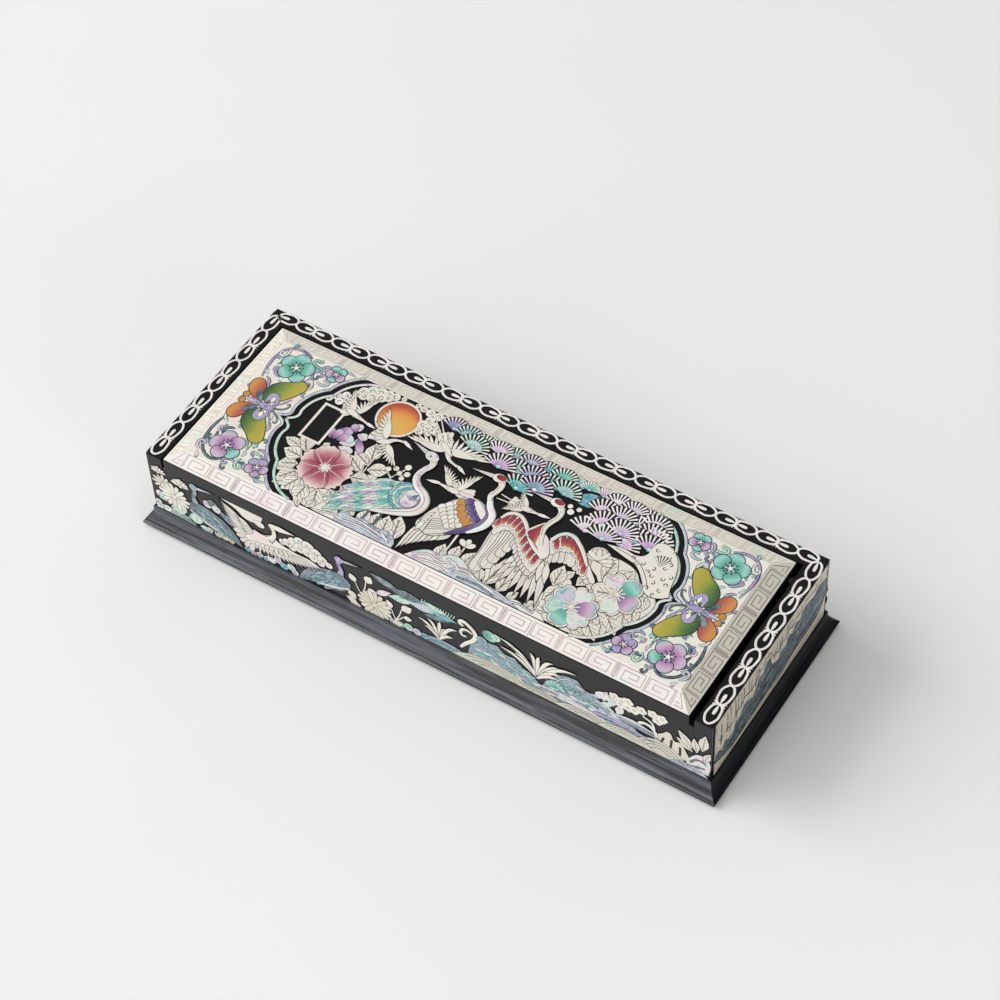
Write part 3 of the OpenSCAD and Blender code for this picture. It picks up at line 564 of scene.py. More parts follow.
floor_pad = panel("floor_velvet", (0, 0, 1), 0.0011, 0.00016, velvet, "velvet", "case")
lid_pad = panel("lid_velvet", (0, 0, -1), 0.0007, 0.00008, velvet, "velvet", "lid")
for node, facing in (
        ("left_velvet", (1, 0, 0)), ("right_velvet", (-1, 0, 0)),
        ("back_velvet", (0, -1, 0)), ("front_velvet", (0, 1, 0))):
    panel(node, facing, 0.0007, 0.00008, velvet, "velvet", "case")
base_sheet = panel("base_felt", (0, 0, -1), 0.0002, 0.00002, felt, "felt", "case")
low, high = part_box("base_felt")
print("velvet panels: 6, felt sheets: 1")

# %% [markdown]
# Inlay is sawn from flat shell with a fretsaw, so the tool for it is a saw as well. An outline is a short
# list of knots: a knot of two numbers is smooth, and a third number makes it a corner. A flat Bezier curve
# runs through them, is filled and given thickness, and becomes a mesh. The same outline, grown by a hair,
# makes the black gap that the saw leaves round each piece. Lines are round curves pressed flat, so that
# their upper half is one flat top. Both are cached, because many pieces share a shape.

# %% Fretsaw
def draw_spline(curve, knots, closed):
    spline = curve.splines.new("BEZIER")
    spline.bezier_points.add(len(knots) - 1)
    spline.use_cyclic_u = closed
    for point, knot in zip(spline.bezier_points, knots):
        point.co = (knot[0], knot[1], 0)
        point.handle_left_type = point.handle_right_type = "VECTOR" if closed and len(knot) > 2 else "AUTO"
        point.radius = knot[2] if not closed and len(knot) > 2 else 1.0


def curve_to_mesh(curve):
    obj = bpy.data.objects.new("cut", curve)
    data = bpy.data.meshes.new_from_object(obj)
    bpy.data.objects.remove(obj)
    bpy.data.curves.remove(curve)
    bm = bmesh.new()
    bm.from_mesh(data)
    bmesh.ops.remove_doubles(bm, verts=bm.verts, dist=1e-4)
    bmesh.ops.recalc_face_normals(bm, faces=bm.faces)
    uv = bm.loops.layers.uv.verify()
    xs, ys = [v.co.x for v in bm.verts], [v.co.y for v in bm.verts]
    x0, y0, wide, tall = min(xs), min(ys), max(xs) - min(xs), max(ys) - min(ys)
    for face in bm.faces:
        for loop in face.loops:
            loop[uv].uv = ((loop.vert.co.x - x0) / wide, (loop.vert.co.y - y0) / tall)
    bm.to_mesh(data)
    bm.free()
    return data


def leftward(knots):
    """The knots in the order that keeps the piece on the left, so that growing it moves edges outwards."""
    area = sum(a[0] * b[1] - b[0] * a[1] for a, b in zip(knots, knots[1:] + knots[:1]))
    return knots if area > 0 else knots[::-1]


@lru_cache(maxsize=None)
def sawn(outlines, grow, steps):
    """Flat shapes sawn from a sheet that lies between heights 0 and 1."""
    curve = bpy.data.curves.new("cut", "CURVE")
    curve.dimensions, curve.fill_mode, curve.resolution_u = "2D", "BOTH", steps
    curve.extrude, curve.offset = 0.5, grow
    for knots in outlines:
        draw_spline(curve, leftward(knots), True)
    data = curve_to_mesh(curve)
    data.transform(Matrix.Translation((0, 0, 0.5)))
    return data


@lru_cache(maxsize=None)
def wire(knots, width, steps):
    """A line pressed flat between heights 0 and 1. A knot's third number scales its width."""
    curve = bpy.data.curves.new("cut", "CURVE")
    curve.dimensions, curve.fill_mode, curve.resolution_u = "3D", "FULL", steps
    curve.bevel_depth, curve.bevel_resolution, curve.use_fill_caps = width / 2, 1, True
    draw_spline(curve, knots, False)
    data = curve_to_mesh(curve)
    for v in data.vertices:
        v.co.z = float(v.co.z > -0.01 * width)
    return data


print("fretsaw ready")

# %% [markdown]
# An Inlay is all the shell of one CAD node: it collects pieces on one face of the case, in millimetres on
# that face, and turns them into a single mesh at the end. Later pieces may lie over earlier ones. A level is
# a hair, 0.012 mm, so the case stays inside its CAD box. Two faces at one height would render black where
# they overlap, so each piece also gets a tiny step of its own.

# %% Inlay collector
MM, HAIR, OWN_STEP, OWN_STEPS = 0.001, 0.012, 0.00057, 19
dice = random.Random(11)


def spot(x, y, turn=0.0, size=1.0, flip=False):
    """A place on a face: moved, turned in degrees, scaled, and mirrored across its own length if asked."""
    here = Matrix.Translation((x, y, 0)) @ Matrix.Rotation(radians(turn), 4, "Z")
    return here @ Matrix.Diagonal((size, -size if flip else size, 1, 1))


class Inlay:
    """The shell of one CAD node, on a face whose heights start at base. A mirror turns the picture round."""

    def __init__(self, node, face, base=0.15, mirror=spot(0, 0)):
        self.node, self.face, self.base, self.mirror = node, face, base, mirror
        self.bm, self.finishes, self.count = bmesh.new(), [], 0
        self.cut = self.bm.faces.layers.float.new("cut")

    def stamp(self, data, finish, where, top):
        where = self.mirror @ where
        verts, faces = len(self.bm.verts), len(self.bm.faces)
        self.bm.from_mesh(data)
        self.bm.verts.ensure_lookup_table()
        self.bm.faces.ensure_lookup_table()
        pressed = where @ Matrix.Diagonal((1, 1, top, 1))
        bmesh.ops.transform(self.bm, matrix=pressed, verts=self.bm.verts[verts:])
        if finish not in self.finishes:
            self.finishes.append(finish)
        seed, index = dice.random(), self.finishes.index(finish)
        for face in self.bm.faces[faces:]:
            face[self.cut], face.material_index = seed, index
        if where.determinant() < 0:
            bmesh.ops.reverse_faces(self.bm, faces=self.bm.faces[faces:])

    def height(self, level):
        return self.base + HAIR * level + OWN_STEP * (self.count % OWN_STEPS)

    def put(self, outline, finish, where=spot(0, 0), level=0.0, rim=0.16, steps=3, hole=None):
        """Sets a sawn piece, with the saw's black gap round it."""
        outlines = (outline, hole) if hole else (outline,)
        if rim:
            self.stamp(sawn(outlines, rim, steps), gap, where, self.height(level - 0.5))
        self.stamp(sawn(outlines, 0.0, steps), finish, where, self.height(level))
        self.count += 1

    def line(self, knots, width, finish, where=spot(0, 0), level=0.0, rim=0.0, steps=4):
        knots = tuple(knots)
        if rim:
            saw_gap = wire(knots, width + 2 * rim, steps)
            self.stamp(saw_gap, gap, where, self.height(level - 0.5))
        self.stamp(wire(knots, width, steps), finish, where, self.height(level))
        self.count += 1

    def done(self, body, slot):
        """Makes the mesh, in metres and in place."""
        name = self.node + "_inlay"
        data = bpy.data.meshes.new(name)
        self.bm.to_mesh(data)
        data.transform(self.face @ Matrix.Scale(MM, 4))
        finish_piece(bpy.data.objects.new(name, data), body, [self.node], slot, *self.finishes)
        print(f"{name}: {self.count} pieces, {len(data.polygons)} faces")


print("inlay collector ready")

# %% [markdown]
# Most pieces have one of a few shapes. A shape starts at the origin and points along x, so a place on the
# face is all that it still needs. A row sets many of them side by side.

# %% Shapes
def leaf(l, w):
    return ((0, 0, 1), (l * 0.45, -w / 2), (l, 0, 1), (l * 0.45, w / 2))


def feather(l, w):
    return ((0, -w * 0.2, 1), (l * 0.55, -w / 2), (l, 0), (l * 0.55, w / 2), (0, w * 0.2, 1))


def drop(l, w):
    return ((0, 0, 1), (l * 0.6, -w / 2), (l, 0), (l * 0.6, w / 2))


def disc(r):
    return ((r, 0), (0, r), (-r, 0), (0, -r))


def petal(l, w):
    """Starts at the flower's middle and ends in two lobes."""
    return ((0, -w * 0.07, 1), (l * 0.62, -w / 2), (l, -w * 0.24), (l * 0.92, 0, 1), (l, w * 0.24),
             (l * 0.62, w / 2), (0, w * 0.07, 1))


def sliver(l, w0, w1):
    return ((0, -w0 / 2, 1), (l, -w1 / 2, 1), (l * 1.04, 0), (l, w1 / 2, 1), (0, w0 / 2, 1))


def oblong(x0, y0, x1, y1):
    return ((x0, y0, 1), (x1, y0, 1), (x1, y1, 1), (x0, y1, 1))


def pick(finish, i):
    return finish[i % len(finish)] if isinstance(finish, (list, tuple)) else finish


def row(inlay, finish, start, end, count, lengths, width, turns, level=0.0, shape=feather, **more):
    """Pieces side by side from one point to another, their length and turn changing evenly."""
    for i in range(count):
        t = i / max(1, count - 1)
        first, last = (*start, lengths[0], turns[0]), (*end, lengths[1], turns[1])
        x, y, l, a = (p + (q - p) * t for p, q in zip(first, last))
        inlay.put(shape(l, width), pick(finish, i), spot(x, y, a), level + 0.6 * i, **more)


print("shapes ready:", ", ".join(f.__name__ for f in (leaf, feather, drop, disc, petal, sliver, row)))

# %% [markdown]
# A chain of loops runs along the tops of three walls. Two loops share a knot with a spike on each side, a
# bud grows from the knot into each loop, and neighbouring pairs touch at their round ends. One loop is a
# bent line pressed flat, so the rail needs only the distance between knots.

# %% Chain on the rails
far_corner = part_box("back_wall")[1]
left_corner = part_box("left_wall")[0]
RAIL_Z, CASE_X, CASE_Y = far_corner.z / MM, -left_corner.x / MM, far_corner.y / MM
CHAIN_MID, CHAIN_WIDTH = 2.86, 5.35
RAIL = Matrix.Translation((0, 0, RAIL_Z * MM))


def chain_loop(inlay, l, where):
    w = CHAIN_WIDTH / 2 - 0.42
    bend = [(0, 0.42, 0.9), (l * 0.1, w * 0.7), (l * 0.36, w), (l * 0.73, w * 0.92), (l - 0.4, 0)]
    knots = bend + [(x, -y, *r) for x, y, *r in reversed(bend[:-1])]
    inlay.line(knots, 0.9, pearl_rose, where, 6)
    inlay.put(drop(l * 0.5, 1.2), pearl_rose, where @ spot(0.2, 0), 7, rim=0)


def chain(node, starts, pitch, knots, turn, closed, flip=False):
    """Starts at a corner knot and counts its knots along the rail."""
    inlay = Inlay(node, RAIL, 0.1)
    rail = spot(*starts, turn, flip=flip)
    l = pitch / 2 + 0.28
    chain_loop(inlay, l, rail @ spot(0.4, 0, -5))
    inlay.put(drop(2.6, 1.2), pearl_rose, rail @ spot(1.4, -0.4, 140), 5, rim=0)
    for i in range(1, knots + 1):
        for a in (0, 180):
            chain_loop(inlay, l, rail @ spot(i * pitch, 0, a))
        for a in (75, 105, 255, 285):
            inlay.put(leaf(2.75, 0.8), pearl_rose, rail @ spot(i * pitch, 0, a), 6, rim=0)
        inlay.put(disc(0.62), pearl_rose, rail @ spot(i * pitch, 0), 8, rim=0)
    if closed:
        chain_loop(inlay, l, rail @ spot((knots + 1) * pitch - 0.4, 0, 185))
    inlay.done("case", "pearl_shell")


edge_x, edge_y = CASE_X - CHAIN_MID, CASE_Y - CHAIN_MID
chain("back_chain", (-edge_x, edge_y), 2 * edge_x / 14, 13, 0, True, flip=True)
side_pitch = (2 * CASE_Y - CHAIN_MID - 1) / 4.5
chain("left_chain", (-edge_x, edge_y), side_pitch, 4, -90, False)
chain("right_chain", (edge_x, edge_y), side_pitch, 4, -90, False, flip=True)

# %% [markdown]
# The bevel round the lid carries a key fret: square spirals in pairs, with two bars between pairs. The strip
# is one piece of shell, and the key is cut into it as straight bars, each a thin sliver of its own, dark
# where the engraver rubbed colour into the line. The front strip is the brightest white with rosy lines,
# painted sheen where the front bevel tilts to the light, and the right-hand strip is grey with dark brown
# lines, painted shade where that bevel faces away from it.

# %% Key fret on the bevel
low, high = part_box("lid_board")
field_low, field_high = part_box("field_right")
LID_X, LID_Y, LID_MID = high.x / MM, (high.y - low.y) / 2 / MM, (high.y + low.y) / 2 / MM
FIELD_X, FIELD_Z = field_high.x / MM, field_low.z / MM
BEVEL = LID_X - FIELD_X
FIELD_Y = LID_Y - BEVEL
BEVEL_DROP = 2.2
ARRIS_Z = FIELD_Z - BEVEL_DROP
SLOPE = atan2(BEVEL_DROP, BEVEL)
SLANT = BEVEL / cos(SLOPE)


def line_finish(name, light, dark):
    finish = Finish(name, IOR=1.5)
    patch = finish.noise(finish.place(), 130, 3, 0.6)
    return finish.set(
        Base_Color=finish.ramp(patch, (0.32, *dark), (0.68, *light)), Roughness=0.5 + 0.12 * patch)


# The rosy line is lighter and pinker as painted sheen on the front bevel; the brown line is darker as painted
# shade on the right-hand bevel.
rosy_line_painted_sheen = line_finish("rosy_line_painted_sheen", (0.60, 0.44, 0.46), (0.34, 0.27, 0.29))
brown_line_painted_shade = line_finish("brown_line_painted_shade", (0.20, 0.135, 0.095), (0.085, 0.06, 0.045))
faint_line = line_finish("faint_line", (0.62, 0.56, 0.45), (0.42, 0.36, 0.27))


def wall_face(at, turn, tilt):
    """The plane of a face that is turned about the upright and tilted up from the floor."""
    turned = Matrix.Rotation(radians(turn), 4, "Z") @ Matrix.Rotation(tilt, 4, "X")
    return Matrix.Translation(Vector(at) * MM) @ turned


def bar(inlay, a, b, width, finish, level):
    """A straight engraved line, a little longer than its two ends so that corners close."""
    run = Vector(b) - Vector(a)
    l, half = run.length + width, width / 2
    outline = oblong(0, -half, l, half)
    start = Vector(a) - run.normalized() * half
    inlay.put(outline, finish, spot(start.x, start.y, degrees(atan2(run.y, run.x))), level, rim=0, steps=1)


KEY = ((0, 0), (0, 1), (1, 1), (1, 0.0), (0.2, 0.0), (0.2, 0.72), (0.78, 0.72), (0.78, 0.32), (0.45, 0.32))


def fret(node, at, turn, half, units, strip, lines, width):
    inlay = Inlay(node, wall_face(at, turn, SLOPE), 0.22)
    inner, edge = half - BEVEL, 0.3
    sheet = ((edge - half, edge, 1), (half - edge, edge, 1), (inner, SLANT, 1), (-inner, SLANT, 1))
    inlay.put(sheet, strip, rim=0, steps=1)
    cell, foot, tall = 2 * (inner - 0.6) / units, 1.35, SLANT - 2.5
    for i in range(units):
        x0, away = (i - units / 2) * cell, i % 2
        xs = [x0 + 0.9 + (cell - 1.8) * ((1 - u) if away else u) for u, v in KEY]
        ys = [foot + tall * v for u, v in KEY]
        for k in range(len(KEY) - 1):
            bar(inlay, (xs[k], ys[k]), (xs[k + 1], ys[k + 1]), width, lines, 2)
        for dx in ((0.22, cell - 0.22) if away else (0.22,)):
            bar(inlay, (x0 + dx, foot - 0.5), (x0 + dx, foot + tall + 0.3), width, lines, 2)
    for s in (-1, 1):
        near, far = s * (inner + 0.4), s * (inner + 3.6)
        bar(inlay, (near, foot + tall), (far, foot), width, lines, 2)
        bar(inlay, (near, foot), (far, foot), width, lines, 2)
        bar(inlay, (near, foot + 1.3), (s * (inner + 1.6), foot + 1.3), width, lines, 2)
    inlay.done("lid", "pearl_shell")


# Front: brightest white and rosy lines, painted sheen. Right: grey white and brown lines, painted shade.
fret("fret_front", (0, LID_MID - LID_Y, ARRIS_Z), 0, LID_X, 18, pearl_rose, rosy_line_painted_sheen, 0.31)
fret("fret_back", (0, LID_MID + LID_Y, ARRIS_Z), 180, LID_X, 18, ivory, faint_line, 0.24)
fret("fret_right", (LID_X, LID_MID, ARRIS_Z), 90, LID_Y, 6, ivory_grey, brown_line_painted_shade, 0.26)
fret("fret_left", (-LID_X, LID_MID, ARRIS_Z), -90, LID_Y, 6, ivory, faint_line, 0.24)

# %% [markdown]
# The field of the lid is divided by a lobed cartouche. Its ends are plain sheets of white shell, whose CAD
# shape is right and only needs the finish. A line of abalone runs along each side of the black groove. Each
# lobe is an arc of the same circles as in the CAD, drawn as its own line so that the cusps between them stay
# sharp.

# %% Cartouche lines
LID = Matrix.Translation((0, LID_MID * MM, FIELD_Z * MM))
TIP, SIDE, GROOVE = 83.1, FIELD_Y * 0.9, 1.9


def arc(middle, r, a0, a1, n):
    turns = [a0 + (a1 - a0) * i / n for i in range(n + 1)]
    return [(middle[0] + r * cos(a), middle[1] + r * sin(a)) for a in turns]


def lobes(grow):
    """The far quarter of the right-hand end: the outer lobe, then the inner lobe and the point."""
    one, two = Vector((TIP - 26.6, SIDE * 0.5)), Vector((TIP - 18.8, SIDE * 0.215))
    r1, r2 = SIDE * 0.64 + grow, SIDE * 0.56 + grow
    across = two - one
    d = across.length
    a = (r1 * r1 - r2 * r2 + d * d) / (2 * d)
    cusp = one + across * a / d + Vector((-across.y, across.x)) * ((r1 * r1 - a * a) ** 0.5 / d)
    top = (one.x + (r1 * r1 - (FIELD_Y - one.y) ** 2) ** 0.5, FIELD_Y)
    angle = lambda p, c: atan2(p[1] - c[1], p[0] - c[0])
    return (arc(one, r1, angle(top, one), angle(cusp, one), 4),
            arc(two, r2, angle(cusp, two), radians(-11), 5) + [(TIP + 1.3 * grow, 0)])


for node, turn in (("edge_line_right", 0), ("edge_line_left", 180)):
    inlay = Inlay(node, LID, 0.22)
    for flip, inner_shell in ((False, abalone_green), (True, abalone_pale)):
        quarter = spot(0, 0, turn, flip=flip)
        for knots in lobes(-0.6):
            inlay.line(knots, 1.1, inner_shell, quarter, 3, rim=0.12, steps=5)
        for knots in lobes(GROOVE + 0.55):
            inlay.line(knots, 1.05, abalone_cool, quarter, 9, rim=0.2, steps=5)
    inlay.done("lid", "abalone_shell")
for node in ("field_left", "field_right"):
    dress(node, ivory)
print("field", round(2 * FIELD_X, 1), "x", round(2 * FIELD_Y, 1), "mm")

# %% [markdown]
# The picture in the cartouche is the traditional one of long life: sun, clouds, cranes, pine, rocks and
# peony. It is drawn in millimetres round the middle of the field. The sky comes first. A cloud is a heap of
# round puffs, each with a small engraved curl, and the near puffs lie over the far ones.

# %% Sky
def scroll(r):
    return [
        (0.1 * r, 0.2 * r, 0.6), (-0.3 * r, 0.25 * r), (-0.4 * r, -0.2 * r),
        (0.1 * r, -0.5 * r), (0.65 * r, -0.1 * r, 0.5)]


def cloud(inlay, level, puffs, finish=ivory):
    for i, (x, y, r) in enumerate(puffs):
        inlay.put(disc(r), finish, spot(x, y, 40 * i), level + 0.7 * i, rim=0.09)
        inlay.line(scroll(r * 0.75), 0.26, ink, spot(x, y, 70 * i), level + 0.7 * i + 1, steps=3)


sky = Inlay("clouds", LID)
cloud(
    sky, 2, [(-53, 29.4, 1.9), (-49.6, 30.2, 1.1), (-55.8, 29, 2.2), (-58.8, 28.4, 2.6),
    (-61.8, 27.4, 2.6), (-64.6, 25.6, 2.3), (-66.4, 23.4, 1.7), (-63.6, 23.8, 2),
    (-60.6, 25, 2.4), (-57.4, 26.4, 2.3), (-54.8, 27.6, 1.9)])
cloud(
    sky, 2, [(-43.2, 30.2, 1.1), (-40.6, 29.8, 1.5), (-37.4, 29.4, 1.9),
    (-33.8, 29.3, 2), (-30.6, 29.9, 1.4)])
cloud(
    sky, 4, [(-35.6, 26.2, 1.8), (-32.8, 24.6, 1.9), (-30.6, 22.4, 1.5), (-33.2, 20.8, 1.7),
    (-36.2, 19.6, 1.6), (-36.8, 23.2, 2.2), (-34.4, 22.8, 1.8)])
cloud(
    sky, 2, [(-74.2, 16.6, 1.4), (-72, 18.8, 1.8), (-69.4, 20.8, 1.8),
    (-67.4, 18.4, 1.9), (-70, 17, 1.7), (-66.4, 16.2, 1.4)], pearl_rose)
sky.done("lid", "pearl_shell")

SUN_SPOT = spot(-46.2, 20.9)
disc_sun = Inlay("sun_disc", LID)
disc_sun.put(disc(7.8), sun, SUN_SPOT, 6, rim=0, steps=12)
disc_sun.done("lid", "amber_shell")
ring_sun = Inlay("sun_ring", LID)
ring_sun.put(disc(8.75), ivory, SUN_SPOT, 8, rim=0, steps=12, hole=disc(7.95))
ring_sun.done("lid", "pearl_shell")

plaque = Inlay("plaque_frame", LID)
outer, inner = oblong(-74, -4.6, -64.4, 14), oblong(-73, -3.6, -65.4, 13)
plaque.put(outer, lacquer, level=11, rim=0, steps=1)
plaque.put(outer, ivory, level=13, rim=0, steps=1, hole=inner)
plaque.done("lid", "pearl_shell")

# %% [markdown]
# A flying crane is a long body with two wings, a stretched neck and trailing legs. Each wing is a fan: the
# feathers start along the arm, turn from the back edge towards the tip and grow longer on the way, and one
# smooth piece covers their roots. Every bird gives the places of its own parts, so one can soar and the next
# can bank.

# %% Flying cranes
def aim(a, b):
    """The place of a piece that starts at a and points to b, and how far apart they are."""
    run = Vector(b) - Vector(a)
    return spot(*a, degrees(atan2(run.y, run.x))), run.length


QUILLS = 9


def wing(inlay, root, tip, flip, level):
    """The arm runs from root to tip. Its feathers trail on the right of it, or on the left when flipped."""
    where, reach = aim(root, tip)
    where = where @ spot(0, 0, flip=flip)
    for i in range(QUILLS):
        t = i / (QUILLS - 1)
        x, y = reach * 0.54 * t, reach * 0.05 * sin(pi * t)
        quill = leaf(reach * (0.44 + 0.1 * t), reach * 0.085)
        inlay.put(quill, ivory, where @ spot(x, y, -3 - 100 * (1 - t)), level + 0.6 * i, rim=0.14)
    arm = ((-0.08, 0, 1), (0.14, -0.12), (0.42, -0.08), (0.72, 0.02, 1), (0.36, 0.1), (0.1, 0.09))
    outline = tuple((x * reach, y * reach, *corner) for x, y, *corner in arm)
    inlay.put(outline, ivory, where, level + 0.6 * QUILLS + 1, rim=0.05)


def soaring(inlay, body, head, bill, tail, wings, level, legs=(), bend=0.0):
    """A bird in flight: body, head, bill and tail are places, and each wing has a root and a tip."""
    place, l = aim(body, tail)
    for a in (-20, 20, -10, 10, 0):
        inlay.put(feather(l * 0.95, l * 0.17), ivory, place @ spot(0, 0, a), level + 1 + (a == 0), rim=0.15)
    for end in legs:
        inlay.line(
            [(*Vector(body).lerp(Vector(end), 0.4), 1), (*end, 0.6)], 0.62, ivory, level=level, rim=0.12)
    for root, tip, flip in wings:
        wing(inlay, root, tip, flip, level + 2)
    place, l = aim(body, head)
    inlay.line(
        [(l * 0.1, 0, 2.6), (l * 0.45, bend, 1.5), (l * 0.75, bend * 0.7, 0.9),
        (l, 0, 1.2)], 0.95, ivory, place, level + 10, rim=0.14)
    inlay.put(
        ((-l * 0.5, 0, 1), (-l * 0.1, -1.2), (l * 0.42, 0, 1),
        (-l * 0.1, 1.2)), ivory, place, level + 10.5, rim=0.1)
    place, l = aim(head, bill)
    inlay.put(((-0.9, 0), (0, -0.62), (l, 0, 1), (0, 0.62)), pearl_rose, place, level + 11.5, rim=0.12)


flock = Inlay("flying_cranes", LID)
soaring(
    flock, (-62, 14.6), (-54.4, 13), (-50.6, 12.4), (-67, 12.6),
    [((-62.8, 15.4), (-67.2, 24.4), True), ((-60.8, 15.4), (-56.8, 24.8), True)], 9)
soaring(
    flock, (-44, 9.2), (-37.6, 12.6), (-33.2, 10.8), (-51.6, 10.6),
    [((-45, 11.2), (-50.8, 22.8), True), ((-42.4, 8.4), (-34.6, 1.4), False)], 12, bend=0.8)
soaring(
    flock, (-22.6, 17.6), (-14.2, 12.6), (-10.2, 10.8), (-28.4, 24.6),
    [((-23.4, 16.4), (-37.8, 15.4), False), ((-21.4, 17.4), (-6.2, 19.8), True)],
    9, [(-34.8, 28.4), (-32.6, 29.2)], bend=-1.4)
soaring(
    flock, (-10.4, 2.4), (-16.8, 2.7), (-21.4, 1.7), (-1.4, 3.3),
    [((-12.2, 3.6), (-19, 10.4), False), ((-8.6, 3.8), (-4.4, 12.8), True)], 9)
soaring(
    flock, (17.6, 8.6), (22.8, 8.8), (27.2, 9.2), (9.6, 8.6),
    [((17, 9.6), (12.4, 15.2), True), ((16.4, 7.6), (9.8, 4.4), False)], 9, [(5.8, 10), (5, 7.6)])
flock.done("lid", "pearl_shell")

# %% [markdown]
# The pine hangs in from the far edge as many fans of needles. A fan is a black sector, a smaller one of
# abalone, and eleven slivers of stained shell on both, wider and paler at the outer end, with a small cap
# where they meet. The fans are laid row by row, the near rows over the far ones, and the colour changes from
# fan to fan.

# %% Pine
SHADES = (needle_rose, needle_green, needle_violet, needle_teal, needle_green)
PALE_SHADES = (needle_white, needle_white, needle_rose)
FAN_RADII = (4.2, 6, 6.9, 7.2)


def sector(r, spread):
    edge = arc((0, 0), r, radians(90 - spread / 2), radians(90 + spread / 2), 6)
    return ((0, -0.2, 1), (*edge[0], 1), *edge[1:-1], (*edge[-1], 1))


def pine_fan(inlay, x, y, turn, r, finish, cap, level, needles=11, spread=146, ground=gap):
    inlay.put(sector(r * 1.06, spread + 12), gap, spot(x, y, turn), level - 2.2, rim=0)
    inlay.put(sector(r * 0.58, spread + 4), ground, spot(x, y, turn), level - 1.1, rim=0)
    for i in range(needles):
        a = 90 + turn - spread / 2 + spread * i / (needles - 1)
        inlay.put(sliver(r * 0.86, 0.14, 0.74), finish, spot(x, y, a) @ spot(r * 0.14, 0), level, rim=0)
    inlay.put(drop(r * 0.26, r * 0.26), cap, spot(x, y - r * 0.06, 90 + turn), level + 1, rim=0.12)


GROUNDS = (lilac, abalone_green, abalone_blue, flower_green, abalone, abalone_blue, abalone_rose)
pine = Inlay("pine_fans", LID)
for i, (x, y, l, w, turn) in enumerate(
        ((-22, 27.4, 9, 3.4, 10), (-8, 28.6, 9, 3, 0), (4, 27.6, 10, 3.6, -12),
        (20, 25.6, 12, 4.4, 16), (29, 21.4, 13, 5, 22), (36, 26.6, 11, 4.6, -8),
        (25, 29.2, 12, 2.8, 4), (38, 29.4, 12, 2.4, -3), (55, 24.4, 9, 3, 14))):
    pine.put(leaf(l, 1.3 * w), pick((lilac, abalone_blue, abalone_dusk), i), spot(x, y, turn), 1, rim=0)
top_row = [(x, 27.5) for x in range(-22, 62, 6)]
far_row = [
    (-26, 26.8), (-19.4, 25.8), (-12.6, 25), (-5.8, 25.4), (1, 25.6), (7.8, 25.8),
    (14.6, 26), (21.4, 26.2), (44.4, 26), (51.2, 25.8), (58, 25.2)]
mid_row = [
    (-15.4, 22.4), (-2.2, 19.6), (4.6, 20.4), (11.4, 20.8), (18.2, 20.6), (25, 20.8), (41.6, 20.4),
    (48.6, 20.6), (55.6, 20.2), (62, 19.4), (61.4, 23.6), (65, 17.8)]
near_row = [
    (8.6, 14.2), (15, 17), (44.6, 15.4), (51.8, 15.2), (58.6, 14.8),
    (64.2, 14.2), (40.4, 10.2), (47.6, 10), (55, 10.8)]
for k, fans in enumerate((top_row, far_row, mid_row, near_row)):
    for i, (x, y) in enumerate(fans):
        pale_end = x > 40
        shade = pick(PALE_SHADES, i + k) if pale_end else pick(SHADES, i + 2 * k)
        ground = pick((abalone_rose, lilac), i) if pale_end else pick(GROUNDS, i + 3 * k)
        turn, level = -10 + 20 * ((i * 7) % 5) / 5, 2.5 + 6 * k + 3 * (i % 2)
        pine_fan(pine, x, y, turn, FAN_RADII[k], shade, pick(SHADES, i + k + 1), level, ground=ground)
for x, y, r in ((30.2, 17.8, 1), (31.6, 15.6, 1.3), (33.8, 18, 1)):
    pine.put(disc(r), pearl_rose, spot(x, y), 12)
pine.done("lid", "abalone_shell")

trunk = Inlay("pine_trunk", LID)
BARK = (
    (66.6, 19.6), (71.6, 19.4), (76, 15.2), (78.4, 9.4), (79.6, 3.6), (81, 0, 1),
    (77.4, -2.4), (73.2, -2.6), (69.6, 1.4), (64.6, 6.2), (58.4, 7.8), (50.4, 9.6, 1),
    (56.8, 10.8), (62.6, 10.6), (65, 12.6), (65.2, 16.8))
trunk.put(BARK, ivory, level=25, steps=4)
for x, y, turn in (
        (67.4, 16.4, 20), (72.4, 15.4, 60), (70.2, 8.4, 140), (73.6, 10.6, 30), (69, 6.2, 200),
        (75.2, 6, 60), (73, 3, 120), (76.6, 1, 10), (61.6, 9, 200), (65.8, 8.6, 80),
        (75.6, -1.8, 300), (69.6, 13.6, 250), (74.6, 12.8, 170), (77.4, 8, 110), (72, 0, 200),
        (71, 5.4, 20), (77.6, 4.2, 240), (73.6, 18, 200), (63.4, 7.4, 20)):
    trunk.line(scroll(1.5), 0.34, ink, spot(x, y, turn), 26.5, steps=3)
pine_fan(trunk, 71.4, 10.6, 6, 4.4, ivory, ivory, 28, needles=6, spread=84)
trunk.line([(54, 9.8), (59, 9.4), (64.4, 8), (68.6, 4.8), (73, -0.6)], 0.26, ink, level=26.2, steps=5)
trunk.done("lid", "pearl_shell")

# %% [markdown]
# Flowers and leaves fill the ground. The peony's seven notched petals are stained, darkest at the middle.

